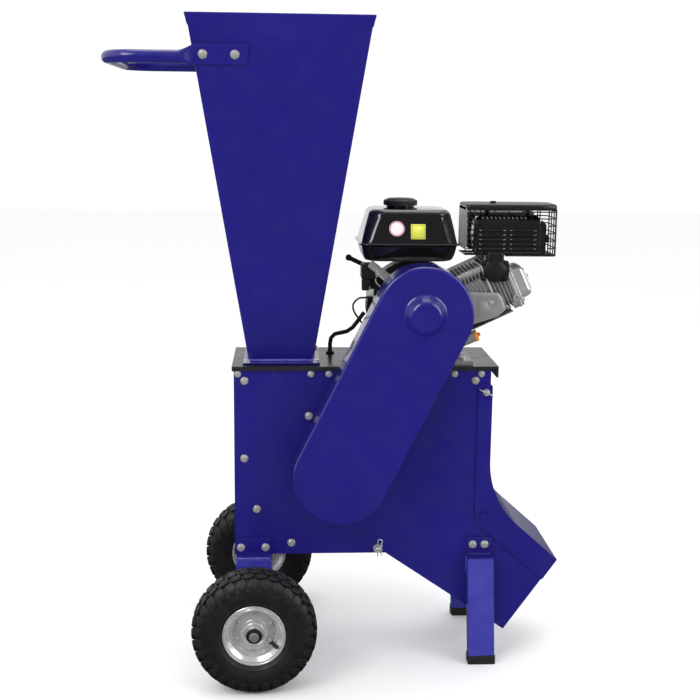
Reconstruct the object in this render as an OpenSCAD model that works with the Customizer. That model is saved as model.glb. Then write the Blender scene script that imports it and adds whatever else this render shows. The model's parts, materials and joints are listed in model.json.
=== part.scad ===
// Petrol wood chipper: vertical hopper, flail-and-blade rotor in a bolted sheet steel
// chamber, belt drive from a single-cylinder engine, two pneumatic wheels and two legs.
// Millimetres. +Z is up and Z = 0 is the ground. -Y is the side with the belt guard,
// +X is the discharge side. The origin is the centre of the footprint of the whole machine.

/* [Running gear] */
// Overall diameter of each pneumatic tyre
tyre_d = 260; // [252:1:264]
// Section width of each tyre
tyre_w = 85; // [78:1:90]
// Distance between the centre planes of the two wheels
track = 470; // [460:2:490]
// Diameter of the wheel axle
axle_d = 20; // [16:1:22]

/* [Chamber] */
// Height of the top face of the engine plate above the ground
plate_z = 660; // [655:1:665]
// Overall depth of the chamber across its side panels
chamber_w = 212; // [208:1:214]
// Thickness of the side panels
panel_t = 4; // [3:0.5:4]
// Radius of the curved screen under the rotor
screen_r = 187; // [180:1:187]

/* [Hopper] */
// Width of the hopper mouth
hopper_top = 364; // [340:2:370]
// Width of the hopper throat
hopper_base = 137; // [130:1:140]
// Height of the hopper rim above the ground
hopper_z = 1367; // [1300:1:1380]

/* [Drive] */
// Height of the engine crankshaft above the engine plate
crank_h = 108; // [104:1:112]
// Outer radius of the pulley on the centrifugal clutch
clutch_pulley_r = 50; // [46:1:56]
// Outer radius of the pulley on the rotor shaft
rotor_pulley_r = 80; // [74:1:86]
// Outer radius of both round ends of the belt guard
guard_r = 100; // [96:1:102]

/* [Hidden] */
$fn = 48;

// The model is laid out from the wheel axle's plane; this shift centres the footprint.
origin_x = 180.35;

blue = [0.12, 0.10, 0.52];
dark = [0.16, 0.16, 0.18];
zinc = [0.75, 0.75, 0.76];
alu = [0.62, 0.62, 0.62];
black = [0.06, 0.06, 0.07];

half_w = chamber_w / 2;          // outer face of each side panel
in_w = half_w - panel_t;         // inner face of each side panel
body_x0 = -44.5;                 // back of the chamber
body_x1 = 500;                   // front edge of the side panels
floor_z = 246;                   // underside of the chamber
slope = 41.7;                    // fall of the discharge cover, degrees below level
tip = [659.2, 226.7];            // outer lip of the discharge cover
rx = 179; rz = 438;              // rotor shaft
ex = 346; ez = plate_z + crank_h; // engine crankshaft
belt_y = -148;                   // centre plane of the belt
hx = 54.5;                       // centre line of the hopper
hop_z0 = plate_z + 4;
hop_tan = (hopper_top - hopper_base) / 2 / (hopper_z - hop_z0);
hop_ang = atan(hop_tan);
hop_len = (hopper_z - hop_z0) / cos(hop_ang);
px = 490; pz = 604;              // pivot of the discharge cover
stud = [493.7, 330.5];           // locating stud of the discharge cover
rod = [263.3, 256.9];            // withdrawable screen rod
stays = [[-23.3, 460.2], [3.2, 347.3], [76.7, 271.1]];
top_bolts = [[-36, 643.5], [117.5, 643.5], [155.3, 643.5], [421.6, 643.5], [479.1, 643.5]];
edge_bolts = [[-22.2, 628.9], [466.8, 628.9]];
leg_bolts = [[471.1, 264.6], [497.4, 264.6]];
wheel_leg_bolts = [[-31.5, 262.4], [21.3, 262.4]];
engine_bolts = [[ex - 66, -83], [ex + 96, -83], [ex - 66, -7.5], [ex + 96, -7.5]];
hopper_bolts = [[129, -80], [129, 80], [-17, -84], [-17, 84]];
housing_bolts = [[38, 38], [38, -38], [-38, 38], [-38, -38]];

function arc(cx, cz, r, a0, a1, n) = [for (i = [0:n]) let (a = a0 + (a1 - a0) * i / n) [cx + r * cos(a), cz + r * sin(a)]];

module F() translate([-origin_x, 0, 0]) children();
module both() { children(); mirror([0, 1, 0]) children(); }
module rod_y(x, z, r, y0, y1, fn = 48) translate([x, y0, z]) rotate([-90, 0, 0]) cylinder(r = r, h = y1 - y0, $fn = fn);
module rod_x(y, z, r, x0, x1, fn = 48) translate([x0, y, z]) rotate([0, 90, 0]) cylinder(r = r, h = x1 - x0, $fn = fn);
module slab_y(pts, y0, y1) translate([0, y1, 0]) rotate([90, 0, 0]) linear_extrude(height = y1 - y0) polygon(pts);
module slab_x(pts, x0, x1) translate([x0, 0, 0]) rotate([90, 0, 90]) linear_extrude(height = x1 - x0) polygon(pts);
module block(x0, x1, y0, y1, z0, z1) translate([x0, y0, z0]) cube([x1 - x0, y1 - y0, z1 - z0]);
// rounded block along Z, radius r, made of exact prisms
module rblock(x0, x1, y0, y1, z0, z1, r) {
    block(x0 + r, x1 - r, y0, y1, z0, z1);
    block(x0, x1, y0 + r, y1 - r, z0, z1);
    for (x = [x0 + r, x1 - r], y = [y0 + r, y1 - r]) translate([x, y, z0]) cylinder(r = r, h = z1 - z0, $fn = 32);
}
// bolt through a wall: hex head outside at -Y, shank and nut inside
module bolt_near(x, z, face, grip, r = 4, hr = 7.2) {
    rod_y(x, z, hr + 1.6, face - 1.6, face, 32);
    rod_y(x, z, hr, face - 6.6, face - 1.6, 6);
    rod_y(x, z, r, face, face + grip, 24);
    rod_y(x, z, hr, face + grip, face + grip + 5, 6);
}
module bolt_down(x, y, z, grip, r = 4, hr = 7.2) {
    translate([x, y, z]) cylinder(r = hr + 1.6, h = 1.6, $fn = 32);
    translate([x, y, z + 1.6]) cylinder(r = hr, h = 5, $fn = 6);
    translate([x, y, z - grip]) cylinder(r = r, h = grip, $fn = 24);
    translate([x, y, z - grip - 5]) cylinder(r = hr, h = 5, $fn = 6);
}

// ---------------------------------------------------------------- chamber
module top_plate() F() color(dark) difference() {
    union() {
        block(-48.5, 515, -half_w - 4, half_w + 4, plate_z - 5, plate_z);
        both() block(-48.5, 499, half_w, half_w + 4, plate_z - 9, plate_z - 5);
        both() block(-41.4, 496, in_w - 4, in_w, 636, plate_z - 5);
        block(511, 515, -half_w - 4, half_w + 4, 636, plate_z - 5);
        block(-48.5, -44.5, -half_w - 4, half_w + 4, plate_z - 10, plate_z - 5);
    }
    block(hx - 61, hx + 61, -61, 61, plate_z - 9, plate_z + 9);
    for (b = engine_bolts) {
        block(b[0] - 12, b[0] + 12, b[1] - 4.25, b[1] + 4.25, plate_z - 9, plate_z + 9);
    }
    for (b = hopper_bolts) translate([b[0], b[1], plate_z - 9]) cylinder(r = 4.1, h = 18, $fn = 24);
    for (b = top_bolts) rod_y(b[0], b[1], 4.1, -half_w - 10, half_w + 10, 24);
    translate([163, 40, plate_z - 9]) cylinder(r = 9.1, h = 18, $fn = 32);
}

module panel_outline() {
    polygon(concat(
        [[body_x0, plate_z - 5], [body_x0, floor_z], [281, floor_z], [545.5, 65.5]],
        [[655.6, 222.9]],
        [for (p = arc(694, 450, 194, 228.3, 180, 16)) p],
        [[body_x1, plate_z - 5]]));
}
module side_panel() difference() {
    translate([0, -in_w, 0]) rotate([90, 0, 0]) linear_extrude(height = panel_t) panel_outline();
    rod_y(rx, rz, 26, -half_w - 5, -in_w + 5);
    rod_y(rod[0], rod[1], 6.06, -half_w - 5, -in_w + 5);
    rod_y(px, pz, 4.06, -half_w - 5, -in_w + 5);
    // open notch that the cover's stud drops into
    rod_y(stud[0], stud[1], 5, -half_w - 5, -in_w + 5, 32);
    block(stud[0], stud[0] + 60, -half_w - 5, -in_w + 5, stud[1] - 5, stud[1] + 14);
    for (b = concat(top_bolts, edge_bolts, stays, leg_bolts, wheel_leg_bolts)) rod_y(b[0], b[1], 4.1, -half_w - 5, -in_w + 5, 24);
    for (b = housing_bolts) rod_y(rx + b[0], rz + b[1], 4.1, -half_w - 5, -in_w + 5, 24);
    rod_y(113.5, 554.2, 4.1, -half_w - 5, -in_w + 5, 24);
}
module near_panel() F() color(blue) side_panel();
module far_panel() F() color(blue) mirror([0, 1, 0]) side_panel();

module back_wall() F() color(blue) difference() {
    union() {
        block(body_x0, body_x0 + 3, -in_w, in_w, floor_z, plate_z - 5);
        both() block(body_x0 + 3, -9, in_w - 4, in_w, 277, 635.8);
    }
    both() rod_y(-22.2, 628.9, 4.1, -half_w, 0, 24);
    both() rod_y(-23.3, 460.2, 9, -half_w, 0, 24);
}
module bottom_plate() F() color(blue) slab_y([[body_x0 + 3, floor_z], [281, floor_z], [281, floor_z + 3.5], [body_x0 + 3, floor_z + 3.5]], -in_w, in_w);
module chute_floor() F() color(blue) slab_y([[281, floor_z], [545.5, 65.5], [547.2, 68], [281.8, floor_z + 3.5], [281, floor_z + 3.5]], -in_w, in_w);
module header_plate() F() color(blue) difference() {
    union() {
        block(496, 499, -in_w, in_w, 596, 654.9);
        both() block(455, 496, in_w - 4, in_w, 612, 635.8);
    }
    both() rod_y(466.8, 628.9, 4.1, -half_w, 0, 24);
    both() rod_y(px, pz, 9, -half_w, -in_w + 8, 24);
}

cover_line = concat([[504, 592]], arc(694, 450, 190, 180, 228.3, 16), [tip]);
cover_inner = concat([[501, 592]], arc(694, 450, 193, 180, 228.3, 16), [[657.5, 224.2]]);
module discharge_cover() F() color(blue) difference() {
    union() {
        slab_y(concat(cover_line, [for (i = [len(cover_inner) - 1:-1:0]) cover_inner[i]]), -half_w - 3.6, half_w + 3.6);
        both() slab_y(concat([[504, 592], [504, 617], [499, 622], [479, 622], [473.5, 616]],
            arc(518.5, 338.7, 45, 180, 228.3, 8), [[627.6, 181.2]],
            [for (i = [len(cover_line) - 1:-1:1]) cover_line[i]]), half_w + 0.6, half_w + 3.6);
        both() {
            rod_y(stud[0], stud[1], 4, -half_w - 3.6, -in_w + 2, 24);
            rod_y(stud[0], stud[1], 8.6, -half_w - 8.6, -half_w - 3.6, 32);
        }
    }
    both() rod_y(px, pz, 4.06, -half_w - 9, -half_w + 1);
}
// cover hinge: the bolt is held by the panel, the wing nut turns on its end
module hinge_bolt() {
    rod_y(px, pz, 4, -half_w - 17, -in_w + 1, 32);
    rod_y(px, pz, 7.2, -in_w, -in_w + 5, 6);
}
module cover_wing_nuts() F() color(zinc) both() difference() {
    union() {
        rod_y(px, pz, 7, -half_w - 12.5, -half_w - 4.2, 32);
        for (s = [-1, 1]) translate([px, 0, pz]) rotate([0, 25, 0]) translate([s * 10.5, -half_w - 13.5, 0]) rotate([-90, 0, 0]) scale(1) translate([0, 0, 0]) cylinder(r = 6.5, h = 3, $fn = 24);
    }
    rod_y(px, pz, 4.06, -half_w - 20, -half_w + 1);
}

module screen() F() color(zinc) difference() {
    intersection() {
        difference() { rod_y(rx, rz, screen_r, -98, 98, 120); rod_y(rx, rz, screen_r - 3, -99, 99, 120); }
        slab_y([[rx, rz], [rx - 300, rz + 24], [rx - 300, rz - 400], [rx + 116, rz - 248]], -99, 99);
    }
    for (a = [188:14:286], y = [-72:36:72]) translate([rx, y, rz]) rotate([0, -a, 0]) translate([100, 0, 0]) rotate([0, 90, 0]) cylinder(r = 10, h = 120, $fn = 24);
}
module screen_stays() F() color(zinc) for (s = stays) rod_y(s[0], s[1], 8, -in_w, in_w, 32);
module screen_rod() F() color(zinc) {
    difference() {
        union() {
            rod_y(rod[0], rod[1], 6, -half_w - 16, half_w + 14, 32);
            rod_y(rod[0], rod[1], 9.5, -half_w - 6, -half_w - 0.8, 32);
        }
        translate([rod[0], -half_w - 11, rod[1] - 12]) cylinder(r = 1.4, h = 24, $fn = 24);
    }
    // spring clip through the end of the rod: a straight leg and a bowed leg
    translate([rod[0], -half_w - 11, rod[1] - 14]) cylinder(r = 1.25, h = 42, $fn = 24);
    translate([rod[0] + 16, -half_w - 11, rod[1] - 14]) rotate([0, -14, 0]) cylinder(r = 1.25, h = 42, $fn = 24);
}

// ---------------------------------------------------------------- hopper
// square funnel: two crossed trapezoid prisms, grown or shrunk by g
module funnel(g, z0, z1) {
    b = hopper_base / 2 + (z0 - hop_z0) * hop_tan + g;
    t = hopper_base / 2 + (z1 - hop_z0) * hop_tan + g;
    intersection() {
        slab_y([[-b, z0], [b, z0], [t, z1], [-t, z1]], -300, 300);
        slab_x([[-b, z0], [b, z0], [t, z1], [-t, z1]], -300, 300);
    }
}
module hopper() F() color(blue) translate([hx, 0, 0]) difference() {
    union() {
        funnel(0, hop_z0 - 1, hopper_z);
        funnel(2.2, hopper_z - 20, hopper_z);
        block(-80.5, 82.5, -94, 94, plate_z, hop_z0);
    }
    funnel(-2.6, hop_z0 - 20, hopper_z + 1);
    for (b = hopper_bolts) translate([b[0] - hx, b[1], plate_z - 9]) cylinder(r = 4.1, h = 18, $fn = 24);
}
hz = 1290;
hy = hopper_base / 2 + (hz - hop_z0) * hop_tan;   // hopper wall's outer face at the handle
module quarter(x, y, z, r, R) translate([x, y, z]) intersection() {
    rotate([0, 0, 45]) rotate_extrude($fn = 96) translate([R, 0]) circle(r = r, $fn = 32);
    translate([-R - r - 1, -R - r - 1, -r - 1]) cube([R + r + 1, R + r + 1, 2 * r + 2]);
}
module handle() F() color(blue) difference() {
    union() {
        both() {
            translate([0, -hy, hz]) rotate([hop_ang, 0, 0]) {
                block(-100, -18, -6, -0.1, -19.5, 19.5);
                translate([-18, -6, 0]) rotate([-90, 0, 0]) intersection() { cylinder(r = 19.5, h = 5.9, $fn = 48); translate([-9, -30, -1]) cube([40, 60, 9]); }
                block(-122, -100, -6, -0.1, -13, 13);
            }
            rod_x(-hy - 6, hz - 6, 12.4, -227, -116, 32);
            quarter(-226, -hy + 54, hz - 6, 12.5, 60);
        }
        rod_y(-286, hz - 6, 12.4, -hy + 53, hy - 53, 32);
    }
    both() for (x = [-95.8, -33.9]) translate([x, -hy, hz]) rotate([hop_ang, 0, 0]) rod_y(0, 0, 4.1, -10, 10, 24);
    // the tube must not enter the hopper wall
    both() translate([0, -hy, hz]) rotate([hop_ang, 0, 0]) block(-130, 10, -0.1, 40, -60, 60);
}

// ---------------------------------------------------------------- rotor
module rotor_shaft() F() color(zinc) {
    difference() {
        rod_y(rx, rz, 15, -172, 140);
        block(rx - 4, rx + 4, -174, -134, rz + 11, rz + 20);
    }
    block(rx - 3.9, rx + 3.9, -166, -136, rz + 11, rz + 18);
}
module rotor_discs() F() color(dark) {
    for (y = [-66, 58]) difference() {
        rod_y(rx, rz, 128, y, y + 8, 96);
        rod_y(rx, rz, 15.02, y - 1, y + 9);
        for (s = [-1, 1]) rod_y(rx + s * 100, rz, 8.02, y - 1, y + 9, 32);
    }
    for (s = [-1, 1]) rod_y(rx + s * 100, rz, 8, -70, 70, 32);
    for (y = [-88, 66]) difference() { rod_y(rx, rz, 24, y, y + 22); rod_y(rx, rz, 15.02, y - 1, y + 23); }
    // blade seats between the discs
    for (a = [0, 180]) translate([rx, 0, rz]) rotate([0, a, 0]) translate([-14, -58, 96]) cube([14, 116, 28]);
}
module hammer(y, s) difference() {
    union() {
        rod_y(rx + s * 100, rz, 13, y - 5, y + 5, 32);
        block(rx + s * 100 - 13, rx + s * 100 + 13, y - 5, y + 5, rz - 66, rz);
    }
    rod_y(rx + s * 100, rz, 8.06, y - 6, y + 6, 32);
}
module hammers_a() F() color(zinc) for (y = [-40, 0, 40]) hammer(y, -1);
module hammers_b() F() color(zinc) for (y = [-40, 0, 40]) hammer(y, 1);
module blades() F() color(zinc) for (a = [0, 180]) translate([rx, 0, rz]) rotate([0, a, 0]) {
    slab_y([[0, 98], [8, 98], [8, 138], [0, 146]], -57, 57);
    for (y = [-36, 0, 36]) translate([8, y, 112]) rotate([0, 90, 0]) cylinder(r = 6, h = 4, $fn = 6);
}
module bearing_housings() F() color(dark) both() difference() {
    union() {
        intersection() {
            block(rx - 54, rx + 54, -half_w - 11, -half_w, rz - 54, rz + 54);
            rod_y(rx, rz, 66, -half_w - 12, -half_w + 1, 64);
        }
        rod_y(rx, rz, 40, -half_w - 20, -half_w - 11);
        rod_y(rx, rz, 25, -half_w - 24, -half_w + 3);
    }
    rod_y(rx, rz, 15.06, -half_w - 30, -half_w + 10);
    for (b = housing_bolts) rod_y(rx + b[0], rz + b[1], 4.1, -half_w - 30, -half_w + 10, 24);
}
module vee_pulley(x, z, R, hub, bore, y0, w = 24) translate([x, y0, z]) rotate([-90, 0, 0]) rotate_extrude($fn = 96)
    polygon([[bore, 0], [hub, 0], [hub, 4], [R - 20, 4], [R - 20, 0], [R, 0], [R, 3], [R - 12, 7.5], [R - 12, w - 7.5], [R, w - 3], [R, w], [R - 20, w], [R - 20, w - 4], [hub, w - 4], [hub, w], [bore, w]]);
module rotor_pulley() F() color(dark) difference() {
    vee_pulley(rx, rz, rotor_pulley_r, 28, 15.02, belt_y - 12);
    block(rx - 4, rx + 4, -174, -130, rz, rz + 18.2);
}
module clutch_pulley() F() color(dark) difference() {
    union() {
        vee_pulley(ex, ez, clutch_pulley_r, 22, 9.6, belt_y - 12);
        difference() { rod_y(ex, ez, 56, -136.4, -112, 64); rod_y(ex, ez, 52, -132, -110, 64); }
        difference() { rod_y(ex, ez, 20, -133, -112.4); rod_y(ex, ez, 9.6, -140, -110); }
        // clutch shoes
        for (a = [0, 120, 240]) translate([ex, 0, ez]) rotate([0, a, 0]) intersection() {
            difference() { rod_y(0, 0, 49, -133, -116, 64); rod_y(0, 0, 26, -134, -110, 48); }
            slab_y([[0, 0], [60, 45], [60, 100], [-60, 100], [-60, 45]], -135, -110);
        }
    }
    rod_y(ex, ez, 9.6, -170, -100);
}
module belt_ring(dr) hull() {
    translate([rx, rz]) circle(r = rotor_pulley_r - dr, $fn = 72);
    translate([ex, ez]) circle(r = clutch_pulley_r - dr, $fn = 72);
}
module drive_belt() F() color(black) translate([0, belt_y + 5, 0]) rotate([90, 0, 0]) linear_extrude(height = 10) difference() { belt_ring(1.5); belt_ring(9.5); }

// belt guard: both ends have the same radius, so its outline is a bar with round ends
gx = 347; gz = 780; g_ang = atan2(gz - rz, gx - rx); g_len = norm([gx - rx, gz - rz]);
module guard_shape(r, y0, y1) translate([rx, y1, rz]) rotate([90, 0, 0]) rotate([0, 0, g_ang]) linear_extrude(height = y1 - y0) union() {
    circle(r = r, $fn = 96);
    translate([g_len, 0]) circle(r = r, $fn = 96);
    translate([0, -r]) square([g_len, 2 * r]);
}
module belt_guard() F() color(blue) difference() {
    union() {
        guard_shape(guard_r, -182, -half_w - 4.6);
        guard_shape(guard_r - 2.5, -186, -181.6);
        guard_shape(guard_r - 7, -188.5, -185.8);
        rod_y(gx, gz, 44, -192, -188, 64);
        rod_y(gx, gz, 40, -200, -191.5, 64);
        rod_y(gx, gz, 28, -206, -199.5, 64);
        // fixing tabs
        block(103.5, 134, -half_w - 6.6, -half_w, 544, 564);
    }
    guard_shape(guard_r - 3, -181, -half_w + 5);
    guard_shape(guard_r - 8, -185.5, -half_w + 5);
    rod_y(gx, gz, 37, -197, -180, 64);
    rod_y(113.5, 554.2, 4.1, -120, -100, 24);
}

// ---------------------------------------------------------------- running gear
ax_z = tyre_d / 2;
wy = track / 2;
module axle() F() color(zinc) rod_y(0, ax_z, axle_d / 2, -276, 276);
module wheel_legs() F() color(blue) both() difference() {
    union() {
        block(-41, 33, -half_w - 4, -half_w, 205, 283);
        block(-41, 33, -half_w - 44, -half_w - 4, 104, 236);
    }
    block(-38, 30, -half_w - 41, -half_w - 7, 100, 233);
    rod_y(0, ax_z, axle_d / 2 + 0.1, -170, -90);
    for (b = wheel_leg_bolts) rod_y(b[0], b[1], 4.1, -half_w - 5, -half_w + 5, 24);
}
module tyre_at(y) translate([0, y, ax_z]) rotate([90, 0, 0]) rotate_extrude($fn = 96)
    polygon([[64, -28], [68, -33], [84, -tyre_w / 2 + 3], [98, -tyre_w / 2], [112, -tyre_w / 2 + 2], [124, -tyre_w / 2 + 10], [tyre_d / 2 - 0.5, -18], [tyre_d / 2, -6],
             [tyre_d / 2, 6], [tyre_d / 2 - 0.5, 18], [124, tyre_w / 2 - 10], [112, tyre_w / 2 - 2], [98, tyre_w / 2], [84, tyre_w / 2 - 3], [68, 33], [64, 28],
             [74, 24], [96, 36], [112, 33], [119, 20], [119, -20], [112, -33], [96, -36], [74, -24]]);
module near_tyre() F() color(black) tyre_at(-wy);
module far_tyre() F() color(black) tyre_at(wy);
module rim_at(s) translate([0, s * wy, ax_z]) rotate([90 * s, 0, 0]) {
    // profile radius against distance from the centre plane, inner side positive
    rotate_extrude($fn = 96) polygon([[65.5, -33], [63, -34.5], [61.5, -33], [60.5, -28], [50, -22], [47, -10], [44, -6], [40, -11], [30, -13], [27, -20], [20, -22],
        [20, -19.5], [25.2, -17.6], [28.6, -10.6], [39, -8.4], [44, -3.5], [48.5, -7], [51.5, -20], [56, -20.5], [50, 0], [51.5, 20], [60.5, 28], [61.5, 33], [63, 34.5], [65.5, 33], [63.9, 31.5], [63.5, 27.5],
        [62, 26], [53.5, 18], [52.4, 0], [57.5, -22], [62, -26], [63.5, -27.5], [63.9, -31.5]]);
    difference() { translate([0, 0, -31]) cylinder(r = 20, h = 62); translate([0, 0, -40]) cylinder(r = axle_d / 2 + 0.05, h = 80); }
    translate([34, 20, -24]) cylinder(r = 3.4, h = 16, $fn = 24);
}
module near_rim() F() color(zinc) mirror([0, 0, 0]) translate([0, 0, 0]) rim_at(-1);
module far_rim() F() color(zinc) rim_at(1);
module axle_retainers() F() color(black) both() {
    difference() {
        union() {
            rod_y(0, ax_z, 15, -wy + 31.4, -half_w - 44.3);
            rod_y(0, ax_z, 17, -wy - 34, -wy - 31.4);
            rod_y(0, ax_z, 12.5, -wy - 38, -wy - 34);
        }
        rod_y(0, ax_z, axle_d / 2 + 0.02, -300, -100);
    }
}
module front_legs() F() color(blue) both() difference() {
    union() {
        block(457, 513, -half_w - 4, -half_w, 200, 281);
        translate([485, -half_w - 2.5, 243]) rotate([-1.6, -2.1, 0]) translate([-28, -29.5, -224]) cube([56, 29.5, 224]);
    }
    translate([485, -half_w - 2.5, 243]) rotate([-1.6, -2.1, 0]) translate([-25.5, -27, -260]) cube([51, 24.5, 257]);
    for (b = leg_bolts) rod_y(b[0], b[1], 4.1, -half_w - 5, -half_w + 5, 24);
    block(440, 530, -200, 0, 0, 19.4);
}
module leg_feet() F() color(black) both() rblock(463.5, 523.5, -half_w - 39.5, -half_w - 7.5, 0, 19.4, 3);

// ---------------------------------------------------------------- engine
base_z = plate_z;
module on_cyl() translate([ex, 0, ez - 12]) rotate([0, -25, 0]) children();   // local X runs along the cylinder
module oil_axis() translate([ex + 69, -60, base_z + 33.6]) rotate([0, 67, 0]) children();
module crankcase() F() color(alu) difference() {
    union() {
        block(ex - 96, ex + 116, -97, 6, base_z, base_z + 9);
        block(ex - 78, ex + 78, -88, 8, base_z + 9, ez - 20);
        rod_y(ex, ez, 80, -88, 8, 64);
        on_cyl() block(20, 92, -84, 6, -50, 50);
        block(ex + 60, ex + 92, -70, -30, base_z + 9, base_z + 40);
        // lug for the control bracket
        block(272, 300, -34, -22, 798, 814);
        // oil filler neck
        oil_axis() cylinder(r = 12, h = 58);
    }
    rod_y(ex, ez, 17.06, -100, 20);
    rod_y(ex, ez, 60, -80, 0, 64);
    for (b = engine_bolts) translate([b[0], b[1], base_z - 5]) cylinder(r = 4.1, h = 30, $fn = 24);
    for (b = engine_bolts) translate([b[0], b[1], base_z + 9]) cylinder(r = 10, h = 30, $fn = 24);
    oil_axis() translate([0, 0, 14]) cylinder(r = 8.56, h = 60);
}
module side_cover() F() color(alu) difference() {
    union() {
        rod_y(ex, ez, 84, -95, -88.1, 64);
        block(ex - 74, ex + 74, -95, -88.1, base_z + 17, ez);
        rod_y(ex, ez, 32, -106, -95);
        for (a = [20:51.4:359]) rod_y(ex + 74 * cos(a), ez + 74 * sin(a), 7, -99, -95, 24);
    }
    rod_y(ex, ez, 12, -110, -80);
}
module crankshaft() F() color(zinc) {
    rod_y(ex, ez, 9.55, -162, -92);
    rod_y(ex, ez, 11.9, -92, -80);
    rod_y(ex, ez, 17, -80, -60);
    rod_y(ex, ez, 40, -60, -48, 64);
    rod_y(ex + 24, ez, 14, -48, -32);
    rod_y(ex, ez, 40, -32, -20, 64);
    rod_y(ex, ez, 17, -20, 20);
    rod_y(ex, ez, 10, 20, 72);
    rod_y(ex, ez, 17, -166, -162, 6);
}
module flywheel() F() color(alu) difference() {
    union() {
        rod_y(ex, ez, 78, 22, 34, 64);
        for (a = [0:24:359]) translate([ex, 34, ez]) rotate([0, a, 0]) translate([46, 0, -1.5]) cube([30, 20, 3]);
        rod_y(ex, ez, 24, 34, 56);
    }
    rod_y(ex, ez, 10.02, 20, 60);
}
module cylinder_fins(u0, u1, pitch, v0, v1, y0, y1) for (u = [u0:pitch:u1]) block(u, u + 2.4, y0, y1, v0, v1);
module cylinder_barrel() F() color(alu) on_cyl() difference() {
    union() {
        rod_x(-39, 0, 42, 92.1, 160);
        block(92.1, 98, -84, 6, -50, 50);
        cylinder_fins(103, 156, 8.6, -55, 52, -90, 12);
        for (v = [-46, 44], y = [-82, 4]) rod_x(y, v, 8, 92.1, 160, 24);
    }
    rod_x(-39, 0, 34, 80, 170);
}
module cylinder_head() F() color(alu) on_cyl() {
    block(160.1, 168, -92, 14, -60, 54);
    block(168, 206, -80, 2, -48, 40);
    cylinder_fins(173, 203, 8.6, -58, 52, -90, 12);
    block(205.5, 218, -86, 8, -65, 27);
    for (v = [-55, 17], y = [-76, -2]) rod_x(y, v, 7, 205, 218, 24);
    block(176, 206, -92, -80, -8, 34);
}
module rocker_cover() F() color([0.85, 0.85, 0.87]) on_cyl() {
    block(218.1, 221, -82, 4, -58, 18);
    translate([221, 0, 0]) rotate([0, 90, 0]) rotate([0, 0, 0]) rblock(-15, 54, -79, 1, 0, 24, 12);
    block(245, 249, -68, -10, -44, 4);
    rod_x(-39, -20, 6, 249, 254, 6);
}
module spark_plug() F() color(black) on_cyl() {
    rod_x(26, 44, 9, 186, 214, 32);
    block(186, 204, 12.1, 26, 35, 53);
    translate([202, 26, 44]) rotate([0, 0, 100]) rotate([0, 90, 0]) cylinder(r = 8, h = 20, $fn = 32);
}
module cylinder_shroud() F() color(alu) on_cyl() difference() {
    union() {
        block(88, 196, -97, -93, -64, -12);
        block(88, 196, -93, 14, -67, -63.5);
        rod_y(150, -42, 9, -101, -97, 32);
    }
    rod_y(150, -42, 4, -104, -90, 24);
}
module fan_housing() F() color(black) difference() {
    union() {
        rod_y(ex, ez, 104, 14.2, 66, 96);
        on_cyl() block(62, 176, 15, 60, -62, 50);
    }
    rod_y(ex, ez, 100, 17, 68, 96);
    rod_y(ex, ez, 30, 10, 30);
    on_cyl() block(62.5, 180, 18, 57, -58, 46);
}
module recoil_cover() F() color(dark) difference() {
    union() {
        rod_y(ex, ez, 103, 66.2, 72, 96);
        rod_y(ex, ez, 90, 72, 96, 96);
        rod_y(ex, ez, 82, 96, 106, 96);
        rod_y(ex, ez, 36, 106, 112);
        block(ex + 70, ex + 104, 74, 92, ez - 62, ez - 34);
    }
    rod_y(ex, ez, 86, 60, 93, 96);
    rod_y(ex, ez, 78, 90, 103, 96);
    for (a = [0:20:359]) translate([ex, 0, ez]) rotate([0, a, 0]) block(44, 72, 90, 120, -4, 4);
    rod_x(83, ez - 48, 3.4, ex + 20, ex + 140, 24);
}
module starter_grip() F() color(black) {
    rod_x(83, ez - 48, 2.4, ex - 40, ex + 106, 24);
    rblock(ex + 105, ex + 123, 58, 108, ez - 56, ez - 40, 6);
}
module carburettor() F() color(alu) {
    on_cyl() { block(172, 206, 60.2, 84, 8, 46); rod_y(189, 27, 15, 84, 106, 32); }
    on_cyl() rod_x(76, 22, 12, 206, 216, 32);
    on_cyl() translate([189, 76, -16]) cylinder(r = 16, h = 24.5, $fn = 40);
    on_cyl() block(176, 202, 12.2, 60.4, 6, 33);
    // bosses and pins for the choke lever and the fuel tap
    on_cyl() { rod_y(196, 0, 9, 62, 106, 32); rod_y(196, 0, 3, 106, 112, 24); rod_y(189, 27, 3, 106, 112, 24); }
}
module air_cleaner() F() color(black) {
    rblock(462, 604, 16, 118, 896, 966, 14);
    rblock(458, 608, 12, 122, 966, 978, 16);
    block(506, 540, 70, 100, 885.5, 896);
    translate([533, 67, 978]) cylinder(r = 13, h = 7, $fn = 32);
}
module lever_y(x, z, y0, t, l, a, r, bore) translate([x, y0, z]) rotate([0, a, 0]) difference() {
    union() {
        rotate([-90, 0, 0]) cylinder(r = r, h = t, $fn = 32);
        translate([0, 0, -r * 0.7]) cube([l, t, r * 1.4]);
        translate([l, 0, 0]) rotate([-90, 0, 0]) cylinder(r = r, h = t, $fn = 32);
    }
    translate([0, -1, 0]) rotate([-90, 0, 0]) cylinder(r = bore, h = t + 2, $fn = 32);
}
choke_p = [ex + 189 * cos(25) - 27 * sin(25), ez - 12 + 189 * sin(25) + 27 * cos(25)];
tap_p = [ex + 196 * cos(25), ez - 12 + 196 * sin(25)];
module choke_lever() F() color(black) lever_y(choke_p[0], choke_p[1], 106.4, 4, 28, -120, 6, 3.06);
module fuel_tap() F() color(black) lever_y(tap_p[0], tap_p[1], 106.4, 4, 22, 150, 6, 3.06);
module throttle_lever() F() color(dark) lever_y(246, 856, 4, 2.6, 50, -155, 7, 4.06);
module tank_shell(x0, x1, y0, y1, z, r) translate([0, 0, z]) for (x = [x0 + r, x1 - r], y = [y0 + r, y1 - r]) translate([x, y, 0]) cylinder(r = r, h = 1, $fn = 32);
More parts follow.
